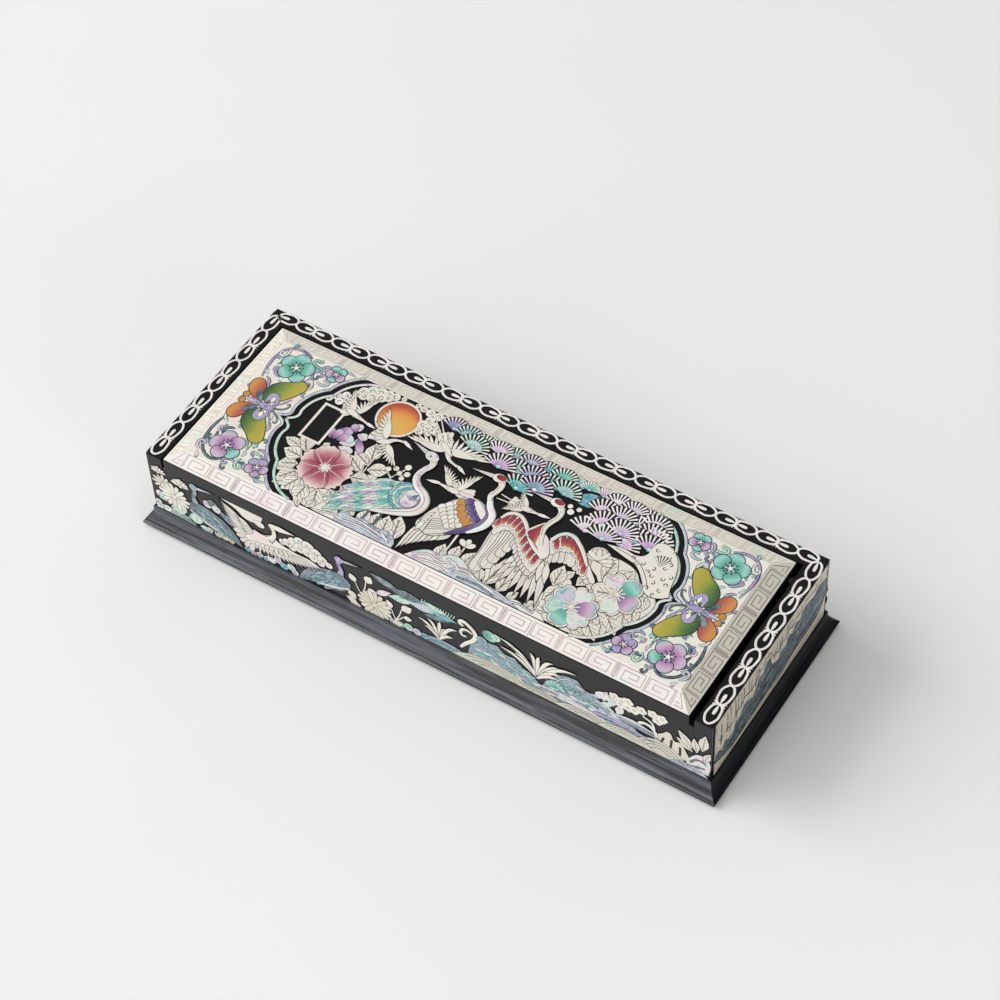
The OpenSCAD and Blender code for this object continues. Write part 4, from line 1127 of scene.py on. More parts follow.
# %% Peony
PEONY_SPOT = spot(-56.3, -12.3)
peony = Inlay("peony", LID)
TOOTHED = (
    (0, -0.5, 1), (5.4, -4.5), (8.4, -4.5), (9.2, -3.3, 1), (10.3, -2.2), (9.9, -1, 1), (10.8, 0),
    (9.9, 1, 1), (10.3, 2.2), (9.2, 3.3, 1), (8.4, 4.5), (5.4, 4.5), (0, 0.5, 1))
for i in range(7):
    peony.put(TOOTHED, mauve, PEONY_SPOT @ spot(0, 0, 15 + 360 * i / 7), 12 + 0.7 * (i % 3), rim=0.2)
for i in range(7):
    peony.line(
        [(0, 0, 1), (3.6, 0.3, 0.8), (9.4, 0, 0.3)], 0.32, abalone_pale,
        PEONY_SPOT @ spot(0, 0, -10 + 360 * i / 7), 15)
    peony.put(leaf(2.8, 0.7), ivory, PEONY_SPOT @ spot(0, 0, 20 + 360 * i / 7), 16, rim=0)
peony.put(disc(0.8), ivory, PEONY_SPOT, 17, rim=0)
peony.done("lid", "rose_shell")

# %% [markdown]
# A leaf is a lens with its veins in the finish, and two white sheets lie below the densest leaves. Sprigs
# are thin lines with berries, and the buds above the peony are coloured shell.

# %% Leaves, sprigs and buds
foliage = Inlay("foliage", LID)
LEAVES = (
    (-68, -5.4, 110, 5, 3.6), (-66.6, -9.6, 126, 8, 5.6), (-70, -8.4, 172, 6.6, 3.6),
    (-66.4, -12.4, 178, 7.6, 5), (-66, -15.6, 208, 7, 4.8), (-64.4, -18.4, 236, 8, 5),
    (-61.4, -20.6, 248, 8, 5.6), (-57.4, -22.4, 268, 7.4, 5.4), (-53, -22, 290, 8, 5.6),
    (-49, -20, 316, 7.4, 5), (-46.6, -16.4, 344, 6.6, 4.6), (-46, -11.4, 18, 7, 5),
    (-69, -19.4, 200, 4, 2.6), (-65, -24.4, 216, 5, 3), (-57.6, -27.6, 300, 5, 2.6),
    (-50.4, -27, 250, 4, 2.6), (-43.4, -7.4, 150, 9, 4.6), (-43.2, -3.4, 158, 8, 4.4),
    (-43.6, -1.4, 108, 8, 5.2), (-42.6, -5.4, 28, 8, 5), (-42.4, -8.4, 352, 7, 4.2),
    (-37.4, -9, 10, 5.4, 3), (-16.6, -28.4, 106, 11, 5.4), (-21.4, -28, 104, 8.4, 4.8),
    (-26.4, -28, 96, 7.4, 4.8), (-31.4, -28, 88, 7, 4), (-36, -28, 104, 5.6, 3), (1.4, -27.6, 94, 7.4, 4),
    (6, -25, 92, 6.6, 3.6), (10.4, -25, 74, 7.4, 4), (22, -28.4, 82, 12, 5.6), (20, -27.6, 118, 6, 3),
    (27.6, -28.4, 80, 7.6, 4.2), (32, -29.4, 60, 5, 2.6), (46, -14, 254, 8.6, 4), (43.4, -16, 96, 9, 4.6),
    (56.6, -4.6, 86, 9.6, 4.4), (60.4, -3, 60, 7, 3.6), (64, -2.4, 80, 6, 3.4), (53, -4.6, 250, 7, 4),
    (57.4, -14, 82, 9.4, 4.4), (61.4, -17, 320, 8.6, 4), (47.4, -27, 196, 7, 3.2),
    (71, -4.4, 300, 7, 3.4), (71, -13.6, 292, 6.4, 3.4), (64.6, -19.4, 300, 6, 3.4), (62, -25, 330, 6, 3),
    (43, -24.4, 240, 7, 3.4), (66.6, -17.6, 318, 8, 4.4), (71.6, -9, 300, 8, 4.4),
    (73.6, -3, 285, 7, 3.8), (61, -22.6, 318, 9, 4.2), (57, -28, 352, 8, 3), (70, 1, 300, 7, 3.6),
    (66.4, -21, 290, 6, 3.4), (47.6, 1.6, 280, 6, 3), (44.4, -11.4, 60, 5, 2.6))
GROVE = (
    (46.6, 4.6), (49.4, -1), (56.6, -6.6), (57.6, -12.4, 1), (53, -11.6), (51, -14.8, 1), (46, -9.8),
    (41.8, -10.4), (43.4, -15.4), (41.6, -22.6), (43.6, -29), (50.4, -30.4, 1), (59.4, -30.5),
    (64.8, -28.6), (69.2, -25), (72, -19.8, 1), (75.3, -15.4), (77.7, -11), (78.6, -6), (77.4, -3),
    (73, -0.8), (69.2, 0.8), (65.4, 4.4), (58.6, 6), (54.8, 5.8), (50.4, 7.6))
NEAR_LEFT = (
    (-63, -19.4), (-66.4, -22.4), (-62.4, -27), (-57, -30.2), (-46, -30.4, 1),
    (-40.4, -29), (-42.6, -24.4), (-46.4, -19.4), (-54, -22))
foliage.put(GROVE, ivory, level=2)
foliage.put(NEAR_LEFT, ivory, level=2)
for i, (x, y, turn, l, w) in enumerate(LEAVES):
    foliage.put(leaf(1.1 * l, 1.26 * w), ivory_leaf, spot(x, y, turn), 4 + 0.6 * (i % 4), rim=0.2, steps=4)
for knots in (
        [(-43, -9), (-43.2, -4), (-43.2, 0.6)], [(-34, -7), (-32.4, -2.6), (-30.2, 2)],
        [(-33, -4), (-35, -2.6), (-36, -1.4)], [(-32, -1.6), (-30, -1.2), (-28.8, 0.2)],
        [(7.6, -24), (7.8, -19), (7.6, -16)], [(-65.6, -3), (-66.4, -9), (-64, -18)]):
    foliage.line(knots, 0.6, ivory_leaf, level=7, rim=0.14)
for x, y, r in (
        (-30, 3.2, 1.3), (-28.6, 0.2, 1.2), (-36, -1, 1.1),
        (-33.6, 0.6, 1.1), (-31.4, -0.6, 1), (-29.4, -2.4, 1)):
    foliage.put(disc(r), ivory, spot(x, y), 8)
for a in (90, 40, 140):
    foliage.put(drop(4, 2.2), ivory, spot(7.6, -17.4, a), 8 + a % 3)
for i in range(9):
    foliage.put(drop(5.6, 1.9), ivory, spot(51.4, 1.4, 6 + 21 * i), 8 + 0.6 * (i % 2), rim=0.2)
BUDS = (
    (-62.4, 5.6, 10, 4.6, 3.2, 0), (-57.6, 7.6, 60, 3.6, 2.6, 1), (-56, 7.4, 130, 3.4, 2.4, 0),
    (-55, 6.8, 4, 3.6, 2.8, 1), (-53.4, 5.4, -52, 5.6, 2.4, 0), (-57.4, 5.6, -60, 3.4, 2.4, 1),
    (-62.8, 0.4, 120, 4.4, 2.8, 0), (-61.8, 0.4, 82, 4.6, 2.6, 0),
    (-60.4, 0.6, 52, 4.4, 2.6, 0), (-58.8, 0.2, 26, 5, 2.8, 1), (-58, -1.4, 0, 5, 2.6, 1),
    (-61.4, -1.6, 250, 2.4, 2, 1), (-53.6, 1.4, 70, 3.4, 2.4, 2))
for i, (x, y, turn, l, w, shade) in enumerate(BUDS):
    foliage.put(
        drop(1.25 * l, 1.3 * w), [flower_rose, abalone_rose, flower_green][shade],
        spot(x, y, turn), 7 + 0.6 * (i % 3), rim=0.18)
foliage.done("lid", "pearl_shell")

# %% [markdown]
# The two large blossoms on the right have white petals with abalone let into them.

# %% Blossoms
def blossom(inlay, where, r, n, level, finishes):
    """White petals with coloured shell let into them. More petals are narrower ones."""
    wide = r * (5.2 - 0.2 * n)
    for i in range(n):
        turn = where @ spot(0, 0, 90 + 360 * i / n)
        inlay.put(petal(r, 0.22 * wide), ivory, turn, level + 0.7 * (i % 2), rim=0.24, steps=4)
        let_in = turn @ spot(r * 0.03, 0)
        inlay.put(petal(r * 0.9, 0.18 * wide), pick(finishes, i), let_in, level + 2.2, rim=0.1, steps=4)
    for i in range(9):
        inlay.put(drop(r * 0.34, 0.6), ivory, where @ spot(0, 0, 40 * i), level + 4, rim=0.1)
    inlay.put(disc(r * 0.1), ivory, where, level + 5, rim=0.08)


blossoms = Inlay("blossoms", LID)
blossom(
    blossoms, spot(64.9, -7.9, 38), 9.3, 5, 12, (abalone_rose, ivory_leaf,
    abalone_pale, flower_rose, flower_green))
blossom(
    blossoms, spot(53.9, -20.8, -11), 9.6, 6, 15, (abalone_pale, abalone,
    abalone_green, flower_green, abalone_rose, flower_rose))
blossoms.done("lid", "abalone_shell")

# %% [markdown]
# Three large cranes stand in front. Their plumage is laid like roof tiles, from the tail up to the shoulder,
# so that each row of feathers covers the roots of the row behind it. The rows follow a spine of places, each
# with the half width of the bird there. The first crane is all abalone, with rings of round scales on its
# shoulder.

# %% First crane
def plumage(inlay, spine, finish, level, length, width, fan, rim):
    """Rows of feathers along a spine of (x, y, half width), which runs from the tail to the shoulder."""
    for k, (x, y, half) in enumerate(spine):
        (ax, ay, _), (bx, by, _) = spine[max(k - 1, 0)], spine[min(k + 1, len(spine) - 1)]
        back = degrees(atan2(ay - by, ax - bx))
        count = max(2, round(2 * half / (width * 0.8)))
        for i in range(count):
            t = (2 * i + k % 2) / count - 1
            plume = leaf(length * dice.uniform(0.9, 1.15), width)
            where = spot(x, y, back) @ spot(0, t * half, t * fan)
            height = level + 1.1 * k + 0.4 * (1 - abs(t))
            inlay.put(plume, pick(finish, 3 * i + 2 * k), where, height, rim=rim)


def neck(inlay, knots, width, finish, level):
    """A neck, with an engraved line a little left of its middle."""
    inlay.line(knots, width, finish, level=level, rim=0.2, steps=5)
    inlay.line([(x - 0.16 * width, y, 0.7) for x, y, _ in knots[1:-1]], 0.26, ink, level=level + 1, steps=5)


def beak(inlay, head, tip, r, finish, level):
    place, l = aim(head, tip)
    inlay.put(((0, -r * 0.6, 1), (l, 0, 1), (0, r * 0.6, 1)), finish, place, level)
    inlay.line([(r, 0, 1), (l * 0.9, 0, 0.4)], 0.2, ink, place, level + 1)
    inlay.put(
        ((-r * 1.2, 0), (0, -r * 0.95), (r * 1.5, -r * 0.4), (r * 1.5, r * 0.4),
        (0, r * 0.95)), finish, place, level + 2)
    inlay.put(disc(r * 0.2), ink, place @ spot(r * 0.5, r * 0.1), level + 3.5, rim=0)


def legs(inlay, tops, foot, finish, level):
    for x, y in tops:
        inlay.line(
            [(x, y, 1.3), (x + 0.2, (y + foot) / 2, 0.9), (x, foot, 1)], 0.75, finish, level=level, rim=0.16)
        for a in (200, 250, 320):
            inlay.put(leaf(2.4, 0.55), finish, spot(x, foot, a), level, rim=0.1)


first = Inlay("crane_left", LID)
legs(first, [(-31.4, -18.6), (-26.4, -17)], -25.6, abalone_dusk, 9)
first.put(
    ((-20.4, -3.4), (-16.8, -7.6), (-17.6, -12.8), (-23, -16.8), (-31, -20.4), (-38, -25), (-46.4, -28.6, 1),
    (-44.4, -20), (-41, -12), (-34.6, -7), (-26.4, -3)), abalone_green, level=10, steps=4)
STREAKS = [
    flower_green, abalone_pale, flower_rose, abalone_green, abalone,
    abalone_green, abalone_blue, abalone_rose, pearl_rose]
plumage(
    first, [(-40.4, -20.6, 3.2), (-38.6, -18.4, 4.6), (-36.6, -16.4, 5.4), (-34.4, -14.6, 6),
    (-32.2, -12.8, 6.2), (-29.8, -11, 6.2), (-27.4, -9.4, 6)], STREAKS, 11, 7.4, 1.5, 9, 0.09)
for k, (r, finish) in enumerate(
        ((7, abalone_blue), (5.6, abalone_green), (4.2, abalone_blue), (2.8, abalone_green))):
    for i in range(8):
        a = radians(106 + 21 * i)
        first.put(disc(1.35), finish, spot(-21.6 + r * cos(a), -8.6 + 0.86 * r * sin(a)), 19 + 1.2 * k)
first.put(
    ((-23.6, -5.4), (-20.6, -4.6), (-18.2, -8), (-19.4, -12.4),
    (-23, -12.8), (-24.4, -9)), abalone_rose, level=24)
first.put(leaf(4.6, 2), abalone_dusk, spot(-21.6, -9.8, 62), 25, rim=0)
neck(
    first, [(-24, 11.2, 1), (-23, 8.6, 0.8), (-24.4, 5, 0.78), (-24.8, 1, 0.85),
    (-22.2, -2.4, 0.95), (-17.8, -4.8, 1.05), (-15.4, -8.6, 1.2), (-16.4, -12.6, 1.2),
    (-20.4, -15.6, 1.1), (-26.6, -18.6, 0.7), (-31, -20.6, 0.2)], 3.1, pearl_rose, 26)
first.line(
    [(-23.4, 9.6, 0.6), (-24.6, 5, 0.9), (-24.6, 0.6, 0.9), (-21.6, -2.8, 0.8),
    (-17.4, -5.6, 0.6)], 1.3, abalone_rose, level=28)
beak(first, (-24.8, 11.7), (-35.3, 14.7), 2.1, abalone_rose, 27)
first.done("lid", "abalone_shell")

# %% [markdown]
# The second crane is white. Long plumes hang below its smooth body, which carries flight feathers, three
# rows of scales, then an amber patch and a band of violet scales below the white shoulder. The red on the
# heads and in the open wings is one CAD node, so those pieces are collected separately while the birds are
# drawn.

# %% Second crane
CROWN = ((-1.7, 0), (0, -1), (1.9, -0.4), (1.8, 0.8), (0, 1.1))
red = Inlay("crane_red", LID)
second = Inlay("crane_middle", LID)
legs(second, [(2.4, -13.4)], -25.6, ivory, 9)
row(
    second, [ivory, ivory_feather], (-11, -13), (0.4, -13.4), 8,
    (17.4, 7.4), 2.7, (261, 243), 5.5, leaf, rim=0.28)
second.put(
    ((-0.6, 3.4), (-5.2, 1.2), (-8.8, -3.2), (-11.4, -7.8), (-13.2, -13.4), (-13.4, -17.4),
    (-10.8, -18.6), (-7, -19.4), (-2.4, -16.8), (3, -12.4), (7.4, -7),
    (7.6, -1.4), (4, 2)), ivory, level=11.5, rim=0.3, steps=4)
row(second, ivory_feather, (2.6, -8), (-0.4, -13.6), 6, (13.6, 10.4), 2, (205, 212), 12.6, rim=0.22)
row(
    second, [ivory, pearl_rose], (-10.2, -9.6), (-11.4, -14.6), 4,
    (6, 5), 2, (240, 262), 12.8, leaf, rim=0.18)
for k in (2, 1, 0):
    row(
        second, [pearl_rose, ivory, ivory], (-4.2 - 1.9 * k, 0.2 - 2.2 * k),
        (2.2 - 1.8 * k, -8.6 - 1.1 * k), 6, (3.8, 3.8), 2.5, (228, 222), 16.2 - 1.3 * k, drop, rim=0.18)
for x, y in ((-4.4, -0.8), (-3.2, -3.2), (-1.4, -5.4), (0.8, -7.2), (3, -8.6)):
    second.put(drop(4.6, 3.2), amber, spot(x + 2, y + 2, 226), 21 + 0.4 * (x % 3), rim=0.18)
for x, y in ((-2.4, 1), (-0.8, -1.2), (1.2, -3), (3.6, -4.6)):
    second.put(drop(3.8, 3), violet, spot(x + 1.8, y + 1.6, 226), 24 + 0.4 * (x % 3), rim=0.18)
second.put(
    ((-0.4, 2.6), (3.4, 1.4), (6.4, -1.4), (6.4, -3.8), (4, -2.6),
    (1.4, -0.4)), pearl_rose, level=27, steps=4)
second.line(
    [(3.4, 5, 0.6), (5, 2, 1.3), (7, -1, 1.2), (6.8, -5, 1.3), (4.6, -9.4, 2), (1.6, -12.8, 1.7),
    (-2.4, -16.2, 0.3)], 1.4, violet, level=27.5, rim=0.16, steps=5)
second.line(
    [(3.4, 6.4, 0.8), (5.6, 2.8, 1), (8.6, -0.6, 1.1), (8.8, -5, 1.1), (6.8, -9, 0.8),
    (4.4, -11.8, 0.3)], 2.5, pearl_rose, level=28.5, rim=0.2, steps=5)
neck(
    second, [(2.6, 15.4, 1), (4.1, 13, 0.85), (3.9, 10, 0.76),
    (3.1, 7.4, 0.8), (3.9, 5, 0.6)], 2.8, ivory, 30)
beak(second, (2, 15.8), (-9.6, 14.8), 2, pearl_rose, 31)
red.put(CROWN, crown, spot(1.8, 16.2, -8), 36)
second.done("lid", "pearl_shell")

# %% [markdown]
# The third crane dances with both wings open. Each wing is built along its leading edge: long white flight
# feathers hang from it, a row of short coverts lies over their roots, then the row of red and amber drops,
# and the smooth white arm closes the top.

# %% Third crane
def open_wing(inlay, arm, quills, lengths, turns, drops, drop_turns, level):
    """Arm is a list of knots along the leading edge, from the tip to the shoulder."""
    def on_arm(t):
        s = t * (len(arm) - 1)
        k = min(int(s), len(arm) - 2)
        return Vector(arm[k]).lerp(Vector(arm[k + 1]), s - k)
    for i in range(quills):
        t = i / (quills - 1)
        fall = min(1, max(0, (t - 0.3) / 0.24))
        at, turn = on_arm(t), turns[0] + (turns[1] - turns[0]) * t
        l = lengths[0] + (lengths[1] - lengths[0]) * fall
        inlay.put(feather(l, 2.2), ivory_feather, spot(*at, turn), level + 0.5 * i, rim=0.22, steps=4)
        inlay.put(feather(8, 2), ivory, spot(*at, turn + 4), level + 0.4 * i + 5, rim=0.18)
    for i in range(drops):
        t = (i + 0.6) / (drops + 0.4)
        turn = drop_turns[0] + (drop_turns[1] - drop_turns[0]) * t
        inlay.put(drop(6.6, 2.7), pearl_rose, spot(*on_arm(t), turn), level + 11 + 0.3 * i, rim=0.12)
        red.put(feather(5.8, 1.75), flame, spot(*on_arm(t), turn), level + 14.5 + 0.3 * i, rim=0.08)
    inlay.line(
        [(*p, 0.6 if k == 0 else 1) for k, p in enumerate(arm)], 1.5, ivory,
        level=level + 18, rim=0.24, steps=5)


third = Inlay("crane_right", LID)
row(third, ivory_feather, (26.4, -10), (36.6, -9), 9, (13, 19), 2.7, (246, 288), 6, leaf, rim=0.26)
row(third, ivory, (27, -9), (36.4, -8), 7, (8.4, 10), 2.5, (244, 294), 11, leaf, rim=0.22)
open_wing(
    third, [(11.6, 0.4), (13.4, 3.9), (16.4, 5), (19.6, 3.7), (22.6, 0.8), (26.2, -3),
    (30, -5.6), (33.6, -7.2)], 18, (27, 10), (278, 264), 10, (262, 274), 7)
open_wing(
    third, [(49.4, -2.6), (45.6, 1.6), (42, 4.6), (38, 6.6), (34.8, 5.6),
    (32.4, 1)], 12, (13, 13), (312, 280), 8, (286, 300), 7)
third.put(
    ((28.2, 2), (26.6, -1.6), (30.4, -4.8), (33.4, -8.6, 1), (35.2, -6),
    (33, -1.6), (30.6, 1.4)), ivory, level=25.5, steps=4)
red.put(((26.8, 5.8, 1), (24.5, 2.3), (23.5, -0.3), (28.2, -3.4, 1), (27.3, 1)), flame, level=27, steps=4)
neck(
    third, [(26.6, 16.4, 1), (28.9, 14, 0.82), (29.3, 11, 0.74), (28.2, 7.8, 0.76),
    (27.6, 4.6, 0.7), (28.6, 1, 0.6), (30.6, -3, 0.4)], 2.8, ivory, 28)
third.line(
    [(26.6, 6.6, 0.6), (24.1, 2.6, 1), (22.9, -0.3, 1), (24.4, -1.8, 0.8)], 0.8, ivory, level=28, rim=0.14)
beak(third, (26, 16.7), (14.8, 16.6), 2, pearl_rose, 29)
red.put(CROWN, crown, spot(25.8, 17.2, -6), 34)
third.done("lid", "pearl_shell")
red.done("lid", "red_shell")

# %% [markdown]
# Rocks line the near edge. A rock is one outline in abalone, with two or three contour lines in another
# shell, the way the engraver shows layers of stone. Their flat foot follows the edge of the field.

# %% Rocks
def rock(inlay, outline, contours, finish, level, lines=pearl_rose):
    inlay.put(outline, finish, level=level, rim=0.2, steps=4)
    for k, knots in enumerate(contours):
        inlay.line(knots, 0.6, pick(lines, k), level=level + 1.5, rim=0.2)


rocks = Inlay("rocks", LID)
rock(
    rocks, ((-50, -30.9, 1), (-36, -31, 1), (-34, -29), (-38, -27), (-43, -28.6)),
    ([(-47, -30.2), (-41.4, -28.9), (-36.4, -29.4)],), pearl_rose, 8, lines=abalone_rose)
rock(
    rocks, ((-40, -31, 1), (-15, -31, 1), (-15.4, -28.4), (-19.4, -25.8), (-25, -26.2), (-30.4, -25.2),
    (-35, -26.4), (-39, -25.4)), ([(-38, -27), (-31, -26.8), (-24, -27.8), (-17, -28.6)],
    [(-37.4, -29.2), (-29, -28.6), (-20.6, -29.8)],
    [(-22, -26.8), (-19, -28.6), (-17, -30.4)]), abalone_cool, 9)
rock(
    rocks, ((-9.4, -31, 1), (14, -31, 1), (15, -27), (11, -23), (5.4, -22.8), (2.4, -24.8), (-2.4, -24.8),
    (-6, -27)), ([(-6.6, -29), (-2, -26.6), (3.4, -27.4), (9, -24.8)],
    [(-4, -30), (3, -28.8), (10, -29.6)], [(4.6, -24.6), (8.4, -25.4), (12, -28)]), abalone_rose, 8)
rock(
    rocks, ((6, -31, 1), (38, -31, 1), (34, -29.6), (27, -28), (20, -27.2), (15, -25.6),
    (10.4, -26.2), (8, -28.6)), ([(9.4, -28.6), (16, -27.4), (24, -29), (32, -30.2)],
    [(12, -30), (20, -29.4), (28, -30.4)], [(11, -26.8), (15, -26.4), (20, -28),
    (27, -28.8)]), abalone_cool, 9, lines=[pearl_rose, abalone_stone, ivory])
rock(
    rocks, ((29.6, -31, 1), (49, -31, 1), (46, -28.8), (41, -29.2), (36, -28), (32.6, -29.4)),
    ([(33, -30), (38, -29), (44, -30)],), pearl_rose, 7, lines=abalone)
rocks.done("lid", "abalone_shell")

# %% [markdown]
# Each white end of the field holds a butterfly among flowers and curling tendrils. The right-hand end is
# drawn once, and the left-hand end is the same list mirrored. A butterfly's wings are stained shell, with
# loops of abalone near the body and two curled feelers. The pieces lie on the white sheet, so they start
# above its top.

# %% Butterflies
SHEET = (field_high.z - field_low.z) / MM + 0.02
FOREWING = (
    (1.2, 1.6, 1), (4, 3.4), (4.9, 8), (3.2, 11.4), (-1.4, 14.6), (-5, 17),
    (-8, 15.4), (-7, 11), (-4, 6.2), (-1.2, 3.4))
HINDWING = ((3, 0.9, 1), (4.8, 5.6), (6.8, 9.6), (9.4, 10.8), (11.6, 9), (11.4, 5.4), (8.8, 2.6), (5.4, 1))
ARCH = ((-3, 1.4, 1), (-2.6, 5), (-0.4, 7.2), (1.8, 6.4), (2.2, 3), (1.6, 1.2, 1), (0.4, 3.6), (-1.4, 3.6))
TEAR = ((2.6, 0.6, 1), (5, 1.8), (7.2, 4.4), (6.6, 6), (5, 4.6), (3.4, 2.4))


def butterfly(inlay, where):
    for s in (False, True):
        half = where @ spot(0, 0, flip=s)
        inlay.put(HINDWING, orange, half, 3, rim=0.3, steps=4)
        inlay.put(disc(1.3), amber, half @ spot(10, 1.6), 3, rim=0.24)
        inlay.put(TEAR, abalone_dusk, half, 5, rim=0.1)
        inlay.put(FOREWING, olive, half, 4, rim=0.34, steps=4)
        inlay.put(ARCH, lilac, half, 7, rim=0.2)
        inlay.put(leaf(3.4, 1.6), pearl_rose, half @ spot(-0.4, 2.4, 90), 8, rim=0.12)
        inlay.line(
            [(-2.6, 0.4), (-5.6, 1.6), (-7.4, 3.6, 0.9), (-7.2, 5.2, 0.7),
            (-6.2, 4.6, 0.6)], 0.7, abalone_dusk, half, 6, rim=0.14)
        inlay.line([(-1.6, 1.6), (-4.4, 4.2), (-6.4, 7.6, 0.7)], 0.6, lilac, half, 6, rim=0.14)
        inlay.line([(2.4, 0.3), (5.6, 0.8), (8.8, 0.5, 0.4)], 0.8, lilac, half, 8, rim=0.16)
    inlay.put(((3.6, 0, 1), (1.2, 1.3), (-2, 1), (-3.4, 0), (-2, -1), (1.2, -1.3)), lilac, where, 10)


for node, at, turn in (("butterfly_right", (91.2, 0.8), 0), ("butterfly_left", (-92, 0.8), 180)):
    inlay = Inlay(node, LID, SHEET)
    butterfly(inlay, spot(*at, turn))
    inlay.done("lid", "green_shell")

# %% [markdown]
# The corner flowers have five round petals, with a star and a ring of dots at the middle. Tendrils curl off
# them: a long curve with a hook at the end, and little commas of shell that fill the ground between.

# %% Corner flowers and tendrils
def corner_flower(inlay, where, r, finishes, level):
    for i in range(5):
        turn = where @ spot(0, 0, 90 + 72 * i)
        inlay.put(drop(r, r * 0.86), pick(finishes, i), turn, level + 0.7 * (i % 2), rim=0.3, steps=5)
    for i in range(10):
        inlay.put(
            leaf(r * 0.32, 0.4), [pearl_rose, ink][i % 2], where @ spot(0, 0, 54 + 36 * i), level + 4, rim=0)
        inlay.put(disc(r * 0.05), ink, where @ spot(0, 0, 18 + 36 * i) @ spot(r * 0.36, 0), level + 3, rim=0)
    inlay.put(disc(r * 0.12), pearl_rose, where, level + 5, rim=0.14)


COMMA = ((0, -0.3, 1), (1.6, -0.9), (3.2, -0.4), (3.6, 0.9), (2.6, 1.4), (2.2, 0.6), (1.2, 0.4), (0, 0.3, 1))
CURL = [
    (0, 0, 0.5), (2.2, 0.2, 1), (4, 1.4, 1.1), (4.4, 3.2, 1), (3, 4.1, 0.9), (2, 3.2, 0.8), (2.6, 2.4, 0.6)]
PLAY = (abalone_green, lilac, abalone, abalone_dusk, abalone_rose, lilac, abalone_blue)
SHELLS = (
    (flower_green,), (flower_green, flower_rose),
    (flower_rose, flower_rose, flower_green), (lilac, flower_rose))

FLOWERS = ((93.3, 22.4, 7.2, 0), (78.4, 27.2, 4.2, 40), (93.6, -22, 7, -24), (77.8, -25.2, 4.6, 15))
TENDRILS = (
    ((90.6, 29.4), (94, 30.6), (98, 30.6), (101.2, 29), (103.2, 25.2), (103.4, 19), (102.2, 12.4)),
    ((102.2, -9.8), (103.3, -14.8), (103.4, -20), (102, -25.4), (98.4, -29.2), (94, -29.8), (90.8, -27.4)),
    ((86.4, 24.4), (85.6, 20.6), (87.6, 17.2)), ((86, -21), (86.6, -17), (89.6, -15.2)),
    ((71.4, 30), (74.6, 30.4), (77.4, 30.2)), ((70.8, -29.4), (73.6, -30.2), (76.4, -30)))
CURLS = (
    (84.8, 27.4, -20, 0), (83.4, 24.4, 60, 0), (82.8, 20.6, 200, 1), (84.4, 20.6, 250, 0),
    (84, 14.8, 120, 1), (96, 15.4, 10, 0), (100.6, 20.4, 120, 1), (101.6, 3.4, 60, 0),
    (101.8, -2.6, -60, 1), (87, -4.6, 220, 0), (95.6, -13.8, -10, 1), (99.8, -12.4, 20, 0),
    (82.4, -18, -200, 0), (84.4, -18.4, -260, 1), (85, -24.6, -60, 1), (86.4, -27.2, 20, 1),
    (101.4, -28.6, 30, 0), (100.6, -18, -120, 0), (100.6, 29.4, 250, 0), (100.8, 13.4, 200, 0))

MINI = (
    (75.4, 29.2), (80.4, 23), (87.6, 25.6), (88.8, 30.2), (98.6, 25.4), (98, 19), (90, 16), (87.6, 12.4),
    (102.6, 8.4), (73.6, -28.4), (81.8, -22), (82.2, -28.8), (89, -16.6), (90, -29.6), (99, -17.4),
    (99, -25.6), (96.8, -10.4), (102.8, -6.8), (88.4, -12.4), (84.4, 17.2), (84, -14.6))

MIRROR = spot(0, 0, 180, flip=True)
for node, mirror in (("spandrel_right", spot(0, 0)), ("spandrel_left", MIRROR)):
    inlay = Inlay(node, LID, SHEET, mirror)
    for k, (x, y, r, turn) in enumerate(FLOWERS):
        corner_flower(inlay, spot(x, y, turn), r, SHELLS[k], 5)
    for k, knots in enumerate(TENDRILS):
        tapered = [(*p, 0.5 if p in (knots[0], knots[-1]) else 1) for p in knots]
        inlay.line(tapered, 0.85, pick(PLAY, 2 * k + 1), level=0.6, rim=0.26, steps=5)
    for k, (x, y, turn, flip) in enumerate(CURLS):
        place = spot(x, y, turn, 0.84, bool(flip))
        inlay.line(CURL, 1.1, pick(PLAY, k), place, 1.2, rim=0.28)
        inlay.put(COMMA, pick(PLAY, k + 2), place @ spot(-0.6, -1.4, 200, 0.8), 1.8, rim=0.2)
    for k, (x, y) in enumerate(MINI):
        inlay.line(CURL, 1.3, pick(PLAY, k + 4), spot(x, y, 77 * k, 0.5, bool(k % 2)), 1, rim=0.3)
    inlay.done("lid", "abalone_shell")

# %% [markdown]
# The walls carry a frieze: cranes between flowers, grasses and rocks. White and coloured shell are two CAD
# nodes on each wall, so two collectors work side by side. The back wall shows the front's frieze the other
# way round, and its collectors are mirrored. Heights are measured from the plinth.

# %% Frieze shapes
FOOT_Z = 9.7


def daisy(inlay, where, r, n, finish, level, spread=360, start=0):
    """Narrow petals round a button, or over part of the round for a flower seen from the side."""
    for i in range(n):
        a = start + spread * i / (n if spread == 360 else n - 1)
        ray = drop(r * dice.uniform(0.9, 1.06), r * 0.26)
        inlay.put(ray, finish, where @ spot(0, 0, a), level + 0.6 * (i % 3), rim=0.18)
    inlay.put(disc(r * 0.16), finish, where, level + 3, rim=0.12)


def blades(inlay, where, ends, width, finish, level):
    """Grass: each blade bends from the root over to its end."""
    for i, (x, y) in enumerate(ends):
        blade = [(0, 0, 0.6), (x * 0.3, y * 0.5, 1), (x * 0.66, y * 0.88, 0.9), (x, y, 0.15)]
        inlay.line(blade, width, finish, where, level + 0.9 * i, rim=0.24)


